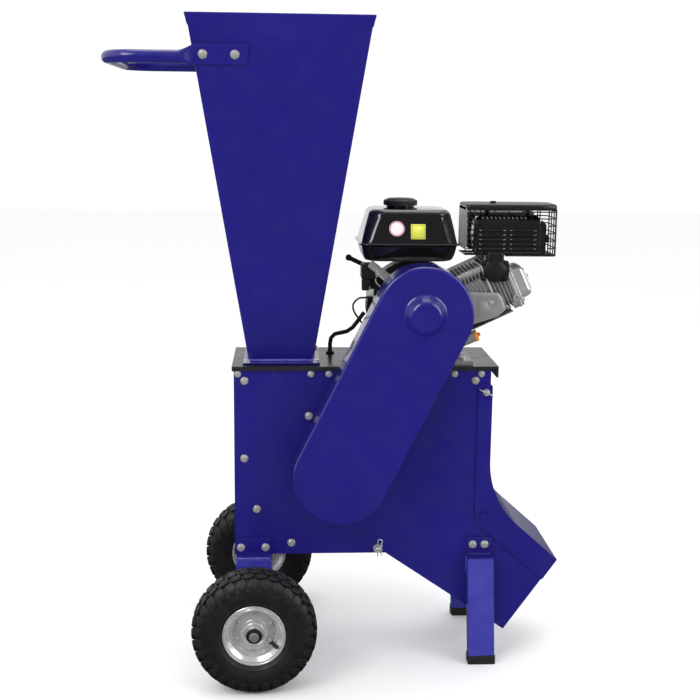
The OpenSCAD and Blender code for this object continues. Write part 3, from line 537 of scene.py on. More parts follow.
def piece(name, bm, body, slot, mat=None, repl=(), bevel=0.0, seg=2, angle=35, subsurf=0, even=True, smooth=True):
    bmesh.ops.recalc_face_normals(bm, faces=list(bm.faces))
    bm.transform(SHIFT)
    me = bpy.data.meshes.new(name)
    bm.to_mesh(me)
    bm.free()
    me.materials.append(mat or MAT[slot])
    for p in me.polygons:
        p.use_smooth = smooth
    o = bpy.data.objects.new(name, me)
    scene.collection.objects.link(o)
    if bevel:
        bv = o.modifiers.new("round", "BEVEL")
        bv.width = bevel / 1000
        bv.segments = seg
        bv.limit_method = "ANGLE"
        bv.angle_limit = math.radians(angle)
    if subsurf:
        ss = o.modifiers.new("smooth", "SUBSURF")
        ss.levels = ss.render_levels = subsurf
    if even:
        wn = o.modifiers.new("even", "WEIGHTED_NORMAL")
        wn.weight = 60
    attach(o, body)
    if repl:
        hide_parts(*repl)
    return o


# ------------------------------------------------------------------ wheels
def tyre_profile():
    """Half cross-section of the carcass from the crown to the bead, as (half-width, radius)."""
    pts = [(0, 124.6), (9, 124.5), (18, 123.6), (26, 121.2), (33, 116.6), (38, 110), (41, 102), (42.1, 94), (41.4, 86), (39, 78), (35.6, 71.5), (33.6, 68.2), (31.6, 66.4)]
    sm = smooth_path([(a, b, 0) for a, b in pts], 5)
    return [(p.x, p.y) for p in sm]


def build_tyre(name, y, body, repl):
    prof = tyre_profile()
    # arc length along the carcass
    s = [0.0]
    for a, b in zip(prof, prof[1:]):
        s.append(s[-1] + math.hypot(b[0] - a[0], b[1] - a[1]))

    def at(q):
        sg, q = (1 if q >= 0 else -1), abs(q)
        for i in range(len(s) - 1):
            if q <= s[i + 1] or i == len(s) - 2:
                k = (q - s[i]) / (s[i + 1] - s[i])
                a, b = prof[i], prof[i + 1]
                w, r = a[0] + (b[0] - a[0]) * k, a[1] + (b[1] - a[1]) * k
                tx, ty = b[0] - a[0], b[1] - a[1]
                L = math.hypot(tx, ty)
                return sg * w, r, sg * (-ty / L), tx / L
    bm = bmesh.new()
    outer = [(r, w) for w, r in reversed([(-w, r) for w, r in prof])]
    full = [(r, -w) for w, r in reversed(prof)] + [(r, w) for w, r in prof[1:]]
    inner = [(64.6, 30.2), (64.2, 27), (70, 26), (92, 36), (108, 33.5), (117, 24), (119.5, 10), (119.5, -10), (117, -24), (108, -33.5), (92, -36), (70, -26), (64.2, -27), (64.6, -30.2)]
    # moulded rings on the side wall
    def rib(r, w):
        g = 0.0
        for c, h, wd in ((101.5, 0.9, 1.0), (88, 0.5, 0.9), (73.5, 0.9, 1.6)):
            g += h * math.exp(-((r - c) / wd) ** 2)
        return g
    prof2 = []
    for r, w in full:
        prof2.append((r, w + (1 if w > 0 else -1) * (rib(r, w) if abs(w) > 30 else 0)))
    dense = []
    for (r0, w0), (r1, w1) in zip(prof2, prof2[1:]):
        dense.append((r0, w0))
    dense.append(prof2[-1])
    lathe(bm, dense + inner, (0, y, 130), (0, 1, 0), 120, closed=True)
    # vent lines are left out; tread blocks follow
    pitches = 30
    blocks = []
    for i in range(pitches):
        a = TAU * i / pitches
        pt = TAU / pitches
        for sd in (-1, 1):
            off = 0.0 if sd > 0 else 0.5 * pt
            # shoulder lug, wide at the crown side and rounded down the side wall
            blocks.append((a + off, sd, [(-0.36, 29.5), (0.0, 28.0), (0.36, 29.5), (0.41, 37), (0.36, 44), (0.22, 50.0), (0.0, 52.5), (-0.22, 50.0), (-0.36, 44), (-0.41, 37)], 5.2, 2.7))
            # slanted block
            blocks.append((a + off + 0.42 * pt, sd, [(-0.38, 14.0), (-0.02, 12.4), (0.34, 14.8), (0.44, 22.0), (0.30, 27.4), (-0.10, 26.6), (-0.36, 24.0), (-0.44, 19)], 5.3, 5.0))
        blocks.append((a + 0.25 * pt, 1, [(-0.40, -1.0), (-0.16, -8.6), (0.14, -9.8), (0.42, -2.0), (0.40, 3.0), (0.16, 9.4), (-0.14, 8.4), (-0.42, 2.6)], 5.4, 5.3))
    for a, sd, outl, h0, h1 in blocks:
        qs = [q for _, q in outl]
        q0, q1 = min(qs), max(qs)
        ct = sum(t for t, _ in outl) / len(outl)
        cq = sum(qs) / len(qs)
        rings = []
        for shrink, lift in ((1.0, -0.6), (0.97, 0.55), (0.93, 0.9), (0.84, 1.0)):
            ring = []
            for t, q in outl:
                tt, qq = ct + (t - ct) * shrink, cq + (q - cq) * shrink
                w, r, nw, nr = at(sd * qq)
                k = 0.0 if q1 == q0 else (qq - q0) / (q1 - q0)
                h = (h0 + (h1 - h0) * k) * (lift if lift > 0 else lift)
                if q0 < 0:
                    h = h0 * lift
                rr = min(r + nr * h, 130.0)
                ww = w + nw * h
                ww = max(-42.5, min(42.5, ww))
                ang = a + tt * TAU / pitches
                ring.append((rr * math.cos(ang), y + ww, 130 + rr * math.sin(ang)))
            rings.append(ring)
        rr_ = [ring_verts(bm, r) for r in rings]
        for p, q in zip(rr_, rr_[1:]):
            bridge(bm, p, q)
        w, r, nw, nr = at(sd * cq)
        k = (cq - q0) / (q1 - q0) if q1 != q0 else 0
        h = h0 if q0 < 0 else h0 + (h1 - h0) * k
        ang = a + ct * TAU / pitches
        rr = min(r + nr * h, 130.0)
        ww = max(-42.5, min(42.5, w + nw * h))
        fan_cap(bm, rr_[-1], (rr * math.cos(ang), y + ww, 130 + rr * math.sin(ang)))
        fan_cap(bm, rr_[0])
    return piece(name, bm, body, "tyre_rubber", repl=repl, even=True)


def build_rim(name, y, sgn, body, repl):
    """Pressed steel rim in two halves; sgn is the way the outer face looks along Y."""
    bm = bmesh.new()
    prof = [(65.4, 33.0, 0.8), (63.0, 34.5, 1.2), (61.0, 33.2, 1.2), (59.6, 28.0, 3), (53.6, 22.6, 2.5), (51.0, 20.6, 2), (47.6, 11.5, 3), (44.6, 8.4, 2), (40.5, 9.4, 2),
            (34.0, 11.4, 3), (27.4, 13.4, 4), (23.8, 20.6, 3), (19.9, 22.6, 1.4), (15.8, 22.4, 0.8), (15.8, 20.2, 0.4), (19.4, 19.9, 1), (22.4, 18.4, 3), (25.8, 11.4, 4), (33.6, 9.2, 3),
            (41, 7.0, 2), (45.4, 6.0, 2), (49.2, 10.0, 3), (51.6, 4.0, 3), (52.0, -8, 3), (51.0, -20.4, 2), (60.2, -28, 3), (61.4, -33.2, 1), (63, -34.5, 1), (65.4, -33, 1), (63.9, -27.8, 1.5), (53.6, -18.6, 3), (53.6, 18.6, 3), (63.9, 27.8, 1.5)]
    pr = [(r, t * 1.0) for r, t in fillet(prof, 4, closed=True)]
    ax = (0, sgn, 0)
    lathe(bm, pr, (0, y, 130), ax, 112, closed=True)
    # hub tube and its bearing seat
    lathe(bm, fillet([(19.6, -31), (19.6, 21.0), (15.9, 21.0), (15.9, 31, 0.8), (10.4, 31, 0.6), (10.4, -31)], 3, closed=True), (0, y, 130), ax, 56, closed=True)
    # inner web, riveted to the outer one
    lathe(bm, fillet([(51.4, -19, 1), (46, -8, 3), (28, -12, 3), (21, -20, 2), (19.3, -20, 1), (19.3, -17.5, 1), (26.5, -10, 3), (45, -5.5, 3), (51.4, -14, 1)], 3, closed=True), (0, y, 130), ax, 80, closed=True)
    # crimped pads round the dish
    for k in range(6):
        a = TAU * (k + 0.45) / 6
        c = Vector((38.4 * math.cos(a), 0, 38.4 * math.sin(a)))
        lathe(bm, fillet([(0, 8.2), (4.2, 8.2), (4.2, 11.6, 0.9), (0, 11.6)], 3), (c.x, y, 130 + c.z), ax, 20, closed=False)
        lathe(bm, fillet([(0, 11.4), (2.6, 11.4), (2.6, 13.0, 0.8), (0, 13.3)], 3), (c.x, y, 130 + c.z), ax, 16, closed=False)
    o = piece(name, bm, body, "zinc_plate", repl=repl, even=True)
    # valve stem and cap
    bm = bmesh.new()
    a = math.radians(-36)
    base = Vector((41 * math.cos(a), sgn * 6.5, 41 * math.sin(a))) + Vector((0, y, 130))
    d = Vector((math.cos(a) * 0.30 + 0.28, sgn * 0.80, math.sin(a) * 0.25)).normalized()
    lathe(bm, fillet([(0, -1), (5.6, -1), (5.6, 2.0, 1.0), (3.9, 5.0, 2), (3.7, 12, 0.4), (4.1, 12.6, 0.3), (4.1, 24.0, 1.0), (2.6, 26.2, 0.8), (0, 26.2)], 3), base, d, 20, closed=False,
          wobble=lambda q, t: (0.22 * math.cos(q * 10) if 13 < t < 23.5 else 0))
    piece(name + "_valve", bm, body, "belt_rubber", even=True)
    return o


build_tyre("near_tyre_tread", -235, "near_wheel", ("near_tyre",))
build_tyre("far_tyre_tread", 235, "far_wheel", ("far_tyre",))
build_rim("near_rim_pressed", -235, -1, "near_wheel", ("near_rim",))
build_rim("far_rim_pressed", 235, 1, "far_wheel", ("far_rim",))


def build_retainers():
    bm = bmesh.new()
    for s in (-1, 1):
        # spacer between the leg bracket and the hub
        lathe(bm, fillet([(14.8, 0, 0.8), (14.8, 53.2, 0.8), (10.05, 53.2), (10.05, 0)], 3, closed=True), (0, s * 150.3, 130), (0, s, 0), 40)
        # push-on cap washer: dished, with a rolled lip
        lathe(bm, fillet([(10.05, 266.4), (16.6, 266.4, 0.6), (16.6, 268.6, 0.9), (14.6, 269.6, 0.8), (13.0, 268.8, 0.8), (12.3, 272.6, 0.7), (10.05, 272.8, 0.3)], 3, closed=True),
              (0, 0, 130), (0, s, 0), 48)
    piece("axle_retainers_pushon", bm, "root", "black_plastic", repl=("axle_retainers",))
    bm = bmesh.new()
    lathe(bm, fillet([(0, -276), (8.6, -276), (9.95, -274.8), (9.95, 274.8), (8.6, 276), (0, 276)], 3), (0, 0, 130), (0, 1, 0), 48, closed=False)
    piece("axle_bar", bm, "root", "bare_steel", repl=("axle",))


build_retainers()


# ------------------------------------------------------------------ hopper
HX = 54.5
HZ0, HZ1, HB, HT = 664.0, 1367.0, 68.5, 182.0
HTAN = (HT - HB) / (HZ1 - HZ0)


def hop_half(z):
    return HB + (z - HZ0) * HTAN


def build_hopper():
    bm = bmesh.new()

    def sq(h, z, r):
        return [(HX + a, b, z) for a, b in rrect(-h, h, -h, h, r, 5, 10)]
    rings = []
    for z in (664.0, 690, 760, 860, 960, 1060, 1160, 1260, 1330, 1340):
        rings.append(sq(hop_half(z), z, 3.2))
    # hem: the sheet is folded out and back, with a small flare
    for z, g in ((1343.2, 0.1), (1344.6, 1.1), (1346.4, 1.75), (1350, 2.0), (1356, 2.3), (1361, 2.9), (1364.2, 3.4), (1366.1, 3.0), (1367.0, 1.8), (1367.0, -0.4), (1366.2, -1.9), (1364.4, -2.5)):
        rings.append(sq(hop_half(z) + g, z, 3.2))
    for z in (1350, 1300, 1200, 1060, 900, 760, 664.0):
        rings.append(sq(hop_half(z) - 2.6, z, 1.2))
    loft(bm, rings, loop=True)
    # foot flange with its square hole
    lo = [rrect(-26, 137, -94, 94, 5, 5, 10), rrect(HX - 65.9, HX + 65.9, -65.9, 65.9, 1.2, 5, 10)]
    out, inn = lo
    ring = [[(x, y, 660.0) for x, y in out], [(x, y, 663.4) for x, y in out],
            [(x * 0 + (x - 55.5) * 0.994 + 55.5, y * 0.994, 664.0) for x, y in out],
            [(x, y, 664.0) for x, y in inn], [(x, y, 660.0) for x, y in inn]]
    loft(bm, ring, loop=True)
    piece("hopper_body", bm, "root", "blue_paint", repl=("hopper",), bevel=0, even=True)

    # weld bead round the foot, in a paler blue that is painted highlight for its glints, and the welds down the inside
    # corners
    bm = bmesh.new()
    path = []
    h = HB + 1.3
    side = rrect(-h, h, -h, h, 3.5, 4)
    pts = []
    for i in range(len(side)):
        a, b = Vector(side[i]), Vector(side[(i + 1) % len(side)])
        k = max(1, int((b - a).length / 1.6))
        for j in range(k):
            p = a + (b - a) * j / k
            pts.append(p)
    n = len(pts)
    rings = []
    for i, p in enumerate(pts):
        q, q0 = pts[(i + 1) % n], pts[i - 1]
        t = (q - q0).normalized()
        nrm = Vector((t.y, -t.x))
        c = Vector((HX + p.x, p.y, 665.4))
        g = 3.4 + 0.75 * math.sin(i * 1.6 / 4.6 * TAU) + 1.0 * noise.noise(Vector((p.x * 0.07, p.y * 0.07, 1.3)))
        row = []
        for k in range(8):
            a = TAU * k / 8
            d = nrm * math.cos(a) * g + Vector((0, 0))
            row.append((c.x + d.x, c.y + d.y, c.z + math.sin(a) * g * 0.95))
        rings.append(row)
    loft(bm, rings, loop=True)
    piece("hopper_foot_weld", bm, "root", "blue_paint", mat=WELD_PAINT_HIGHLIGHT, even=False)
    bm = bmesh.new()
    for sx in (-1, 1):
        for sy in (-1, 1):
            path = []
            for k in range(150):
                z = 672 + (1358 - 672) * k / 149
                h = hop_half(z) - 2.9
                path.append((HX + sx * h, sy * h, z))
            tube(bm, path, 2.0, 6, radius=lambda t: 2.0 + 0.35 * math.sin(t * 700) + 0.2 * math.sin(t * 97))
    piece("hopper_seam_welds", bm, "root", "blue_paint", even=False)


build_hopper()


def build_handle():
    """One bent tube whose two ends are pressed flat and bolted to the hopper's sides."""
    bm = bmesh.new()
    hz, hy, ang = 1290.0, hop_half(1290.0), math.atan(HTAN)

    def section(c, tdir, a, b, n_exp, tilt, side):
        """c centre, tdir along the tube, a half-thickness outwards, b half-height."""
        t = Vector(tdir).normalized()
        up = Vector((0, 0, 1))
        out = t.cross(up).normalized()
        if out.y * side < 0 and abs(out.y) > 0.05:
            out = -out
        rot = Matrix.Rotation(tilt * (-side), 3, t) if abs(t.x) > 0.5 else Matrix.Identity(3)
        ring = []
        for k in range(32):
            q = TAU * k / 32
            cc, ss = math.cos(q), math.sin(q)
            x = a * math.copysign(abs(cc) ** (2 / n_exp), cc)
            y = b * math.copysign(abs(ss) ** (2 / n_exp), ss)
            ring.append(Vector(c) + out * x + up * y)
        return ring

    half = []   # (x, y outwards from the middle, z, a, b, n, tilt) from the plate's end to the crossbar's middle
    for x, b in ((-9.4, 10.5), (-9.7, 14.0), (-10.6, 16.6), (-12.4, 18.6), (-15.0, 19.4), (-20, 19.5), (-40, 19.5), (-70, 19.5), (-106, 19.5)):
        half.append((x, 3.0, hz, 2.9, b, 9.0, 1.0))
    for k in range(1, 11):
        t = k / 10
        e = t * t * (3 - 2 * t)
        half.append((-106 - 38 * t, 3.0 + 3.2 * e, hz - 6 * e, 2.9 + 9.6 * e, 19.5 - 7.0 * e, 9 - 7 * e, 1 - e))
    for x in (-160, -190, -222):
        half.append((x, 6.2, hz - 6, 12.5, 12.5, 2.0, 0))
    rows = []
    # far side first, so that the tube runs on round the bend
    def place(side):
        rr = []
        for x, off, z, a, b, n_exp, k in half:
            ring = []
            for q in range(32):
                an = TAU * q / 32
                cc, ss = math.cos(an), math.sin(an)
                u = a * math.copysign(abs(cc) ** (2 / n_exp), cc) + off
                w = b * math.copysign(abs(ss) ** (2 / n_exp), ss)
                # the plate leans with the wall
                t = ang * k
                yy = u * math.cos(t) - w * -math.sin(t)
                zz = w * math.cos(t) - u * math.sin(t)
                ring.append((x, side * (hy + yy), z + zz))
            rr.append(ring)
        return rr
    near = place(-1)
    far = place(1)
    R = 60.0
    yc = hy + 6.2 - R
    bend = []
    for k in range(1, 13):
        t = (math.pi / 2) * k / 12
        cx, cy = -226 - R * math.sin(t), yc + R * math.cos(t)
        ring = []
        for q in range(32):
            an = TAU * q / 32
            d = 12.5 * math.cos(an)
            ring.append((cx - d * math.sin(t), cy + d * math.cos(t), hz - 6 + 12.5 * math.sin(an)))
        bend.append(ring)
    near_b = [[(x, -y, z) for x, y, z in r] for r in bend]
    mids = []
    for y in (70, 35, 0, -35, -70):
        mids.append([(-286 - 12.5 * math.cos(TAU * q / 32), y, hz - 6 + 12.5 * math.sin(TAU * q / 32)) for q in range(32)])
    rows = near + near_b + list(reversed(mids)) + list(reversed(bend)) + list(reversed(far))
    loft(bm, rows)
    piece("handle_tube", bm, "root", "blue_paint", repl=("handle",), even=True)


build_handle()


# ------------------------------------------------------------------ belt guard
def build_guard():
    A, B = Vector((179, 438)), Vector((347, 780))
    d = (B - A).normalized()
    nrm = Vector((-d.y, d.x))
    base = math.atan2(nrm.y, nrm.x)

    def stadium(r, y, n=40):
        pts = []
        for k in range(n + 1):
            a = base + math.pi * k / n
            pts.append((A.x + r * math.cos(a), y, A.y + r * math.sin(a)))
        for k in range(1, 14):
            t = k / 14
            c = A + (B - A) * t
            pts.append((c.x - nrm.x * r, y, c.y - nrm.y * r))
        for k in range(n + 1):
            a = base + math.pi + math.pi * k / n
            pts.append((B.x + r * math.cos(a), y, B.y + r * math.sin(a)))
        for k in range(1, 14):
            t = k / 14
            c = B + (A - B) * t
            pts.append((c.x + nrm.x * r, y, c.y + nrm.y * r))
        return pts
    bm = bmesh.new()
    prof = [(98.4, -110.6), (99.7, -110.6), (100, -111.2), (100, -150), (100, -181.5)]
    for k in range(1, 8):
        t = (math.pi / 2) * k / 8
        prof.append((100 - 6.5 * (1 - math.cos(t)), -182.0 - 6.5 * math.sin(t)))
    prof.append((93.5, -188.5))
    rings = [stadium(r, y) for r, y in prof]
    n = len(rings[0])
    rows = [ring_verts(bm, r) for r in rings]
    for a, b in zip(rows, rows[1:]):
        bridge(bm, a, b)
    bm.faces.new(rows[-1])
    inner = [stadium(r, y) for r, y in ((98.4 - 1.2, -110.6), (97.2, -150), (97.2, -180), (95, -184.2), (91, -185.6))]
    irows = [ring_verts(bm, r) for r in inner]
    bridge(bm, rows[0], irows[0])
    for a, b in zip(irows, irows[1:]):
        bridge(bm, a, b)
    bm.faces.new(list(reversed(irows[-1])))
    piece("belt_guard_shell", bm, "root", "blue_paint", repl=("belt_guard",), even=True)
    # pressed boss over the clutch
    bm = bmesh.new()
    lathe(bm, fillet([(47, 187.6), (44.5, 188.6, 1.5), (41.6, 190.2, 4.0), (31.6, 203.6, 4.5), (27.5, 206.0, 3.5), (0, 206.0)], 7) + [(0, 187.6)], (347, 0, 780), (0, -1, 0), 96, closed=False)
    piece("belt_guard_boss", bm, "root", "blue_paint", even=True)
    # fixing tab
    bm = bmesh.new()
    out = rrect(104, 132, 544.4, 563.6, 4, 5)
    prism(bm, [(a, b) for a, b in out], -112.6, -109.6)
    piece("belt_guard_tab", bm, "root", "blue_paint", bevel=0.5)


build_guard()


# ------------------------------------------------------------------ fasteners
def build_bolts():
    OUT, IN_ = 106.0, 102.0
    bm = bmesh.new()
    small = [(-36, 643.5), (117.5, 643.5), (155.3, 643.5), (421.6, 643.5), (479.1, 643.5)]
    edge = [(-22.2, 628.9), (466.8, 628.9)]
    stays = [(-23.3, 460.2), (3.2, 347.3), (76.7, 271.1)]
    k = 0
    for s in (-1, 1):
        for x, z in small:
            k += 1
            hex_head(bm, (x, s * OUT, z), (0, s, 0), 5.7, 4.2, 7.3, 1.3, turn=k * 0.71, shank=8, dome=False)
            hex_head(bm, (x, s * (IN_ - 4), z), (0, -s, 0), 5.7, 4.4, 0, 0.2, turn=k * 0.4, stub=2.0)
        for x, z in edge:
            k += 1
            hex_head(bm, (x, s * OUT, z), (0, s, 0), 6.6, 4.6, 8.4, 1.4, turn=k * 0.83, shank=8)
            hex_head(bm, (x, s * (IN_ - 4), z), (0, -s, 0), 6.6, 4.8, 0, 0.2, turn=k * 0.4, stub=2.0)
        for x, z in stays:
            k += 1
            hex_head(bm, (x, s * OUT, z), (0, s, 0), 6.8, 4.6, 8.6, 1.4, turn=k * 0.57, shank=4)
        # hinge bolt of the chute cover: its threaded end stands through the wing nut
        lathe(bm, fillet([(0, IN_ - 1), (3.95, IN_ - 1), (3.95, 123, 0.9), (0, 123)], 3), (490, 0, 604), (0, s, 0), 24, closed=False,
              wobble=lambda q, t: 0)
        hex_head(bm, (490, s * IN_, 604), (0, -s, 0), 7.0, 4.8, 0, 0.0, turn=0.3)
    for x, y in ((129, -80), (129, 80), (-17, -84), (-17, 84)):
        k += 1
        hex_head(bm, (x, y, 664), (0, 0, 1), 6.8, 4.8, 8.4, 1.4, turn=k, shank=9)
        hex_head(bm, (x, y, 655), (0, 0, -1), 6.8, 4.8, 0, 0.2, turn=k, stub=2)
    hex_head(bm, (113.5, -112.6, 554.2), (0, -1, 0), 6.6, 4.6, 8.4, 1.4, turn=0.5, shank=10)
    hex_head(bm, (113.5, -102, 554.2), (0, 1, 0), 6.6, 4.8, 0, 0.2, turn=0.5, stub=2)
    ang = math.atan(HTAN)
    hy = hop_half(1290)
    for s in (-1, 1):
        for x in (-95.8, -33.9):
            k += 1
            o = Vector((x, s * (hy + 6.0 * math.cos(ang)), 1290 - 6.0 * math.sin(ang)))
            ax = Vector((0, s * math.cos(ang), -math.sin(ang)))
            hex_head(bm, o, ax, 7.0, 4.8, 9.0, 1.4, turn=k * 0.9, shank=8)
            o2 = Vector((x, s * (hy - 2.6 * math.cos(ang)), 1290 + 2.6 * math.sin(ang)))
            hex_head(bm, o2, -ax, 7.0, 5.0, 9.0, 1.2, turn=k * 0.9, stub=2)
    piece("chamber_bolt_set", bm, "root", "zinc_plate", repl=("chamber_bolts",), even=True)

    bm = bmesh.new()
    for s in (-1, 1):
        for x, z in ((471.1, 264.6), (497.4, 264.6), (-31.5, 262.4), (21.3, 262.4)):
            k += 1
            hex_head(bm, (x, s * 110, z), (0, s, 0), 6.9, 4.8, 8.8, 1.4, turn=k * 0.61, shank=8)
            hex_head(bm, (x, s * IN_, z), (0, -s, 0), 6.9, 4.8, 8.8, 1.2, turn=k * 0.4, stub=2)
        for dx in (-38, 38):
            for dz in (-38, 38):
                k += 1
                hex_head(bm, (179 + dx, s * 117, 438 + dz), (0, s, 0), 6.9, 4.8, 8.8, 1.4, turn=k * 0.61, shank=15)
                hex_head(bm, (179 + dx, s * IN_, 438 + dz), (0, -s, 0), 6.9, 4.8, 0, 0.2, turn=k * 0.4, stub=2)
    for x, y in ((280, -83), (442, -83), (280, -7.5), (442, -7.5)):
        k += 1
        hex_head(bm, (x, y, 669), (0, 0, 1), 7.0, 4.8, 8.6, 1.4, turn=k, shank=14)
        hex_head(bm, (x, y, 655), (0, 0, -1), 7.0, 4.8, 9.5, 1.2, turn=k, stub=3)
    piece("frame_bolt_set", bm, "root", "zinc_plate", repl=("frame_bolts",), even=True)


build_bolts()


def build_wing_nuts():
    bm = bmesh.new()
    for s in (-1, 1):
        o = Vector((490, 0, 604))
        lathe(bm, fillet([(4.06, 110.2), (8.0, 110.2, 0.6), (7.4, 113.4, 1.4), (6.2, 118.4, 1.2), (4.06, 118.6, 0.4)], 4, closed=True), o, (0, s, 0), 36)
        for w in (-1, 1):
            ca, sa = math.cos(math.radians(25)), -math.sin(math.radians(25))
            # an ear: a rounded leaf that leans outwards
            rings = []
            for t in [i / 8 for i in range(9)]:
                rad = 4.6 + 12.6 * t
                half_h = 1.4 + 3.6 * math.sin(math.pi * min(1.0, 0.18 + t * 0.86)) ** 0.8
                th = 1.7 - 0.7 * t
                mid = 114.0 + 2.6 * t
                c = o + Vector((w * rad * ca, s * mid, w * rad * sa))
                row = []
                tang = Vector((-sa, 0, ca))
                for q in range(12):
                    a = TAU * q / 12
                    row.append(c + Vector((0, s, 0)) * (half_h * math.cos(a)) + tang * (th * math.sin(a)))
                rings.append(row)
            loft(bm, rings)
    piece("cover_wing_nut_set", bm, "wing_nuts", "zinc_plate", repl=("cover_wing_nuts",), even=True)


build_wing_nuts()


def build_screen_pin():
    bm = bmesh.new()
    x, z = 263.3, 256.9
    lathe(bm, fillet([(0, -120), (5.95, -120, 0), (5.95, 121, 1.0), (4.6, 122, 0.6), (0, 122)], 3), (x, 0, z), (0, -1, 0), 32, closed=False)
    lathe(bm, fillet([(5.9, 106.8), (9.4, 106.8, 0.6), (9.4, 112, 0.8), (5.9, 112)], 3, closed=True), (x, 0, z), (0, -1, 0), 36)
    # spring clip: straight leg through the rod, bowed leg over it
    y = -117.0
    leg = [(x, y, z - 15), (x, y, z + 14)]
    loop = []
    for k in range(15):
        a = math.radians(180 - 250 * k / 14)
        loop.append((x + 5.0 + 5.0 * math.cos(a), y, z + 18 + 5.0 * math.sin(a)))
    bow = [(x + 9.6, y, z + 8), (x + 7.4, y - 0.5, z + 4), (x + 9.2, y - 1.2, z - 1), (x + 7.0, y - 1.4, z - 7), (x + 9.6, y - 1.2, z - 13)]
    path = [(x, y, z - 15), (x, y, z - 5), (x, y, z + 6), (x, y, z + 14)] + loop[2:] + bow
    tube(bm, smooth_path(path, 3), 1.2, 8)
    piece("screen_pin_rod", bm, "screen_pin", "zinc_plate", repl=("screen_rod",), even=True)


build_screen_pin()


# ------------------------------------------------------------------ engine
EX, EZ, PZ = 346.0, 768.0, 660.0
C25, S25 = math.cos(math.radians(25)), math.sin(math.radians(25))


def cyl(u, y, v):
    """A point of the cylinder's own frame: u runs along the bore, v square to it."""
    return Vector((EX + u * C25 - v * S25, y, EZ - 12 + u * S25 + v * C25))


CYL = Matrix(((C25, 0, -S25, EX), (0, 1, 0, 0), (S25, 0, C25, EZ - 12), (0, 0, 0, 1)))


def into(bm, src, m=None):
    if m is not None:
        src.transform(m)
    me = bpy.data.meshes.new("tmp")
    src.to_mesh(me)
    src.free()
    bm.from_mesh(me)
    bpy.data.meshes.remove(me)


def rloft_z(bm, levels, n=7, edge=6):
    """Skin over rounded rectangles given as (z, x0, x1, y0, y1, r)."""
    rings = []
    for z, x0, x1, y0, y1, r in levels:
        rings.append([(a, b, z) for a, b in rrect(x0, x1, y0, y1, r, n, edge)])
    loft(bm, rings)


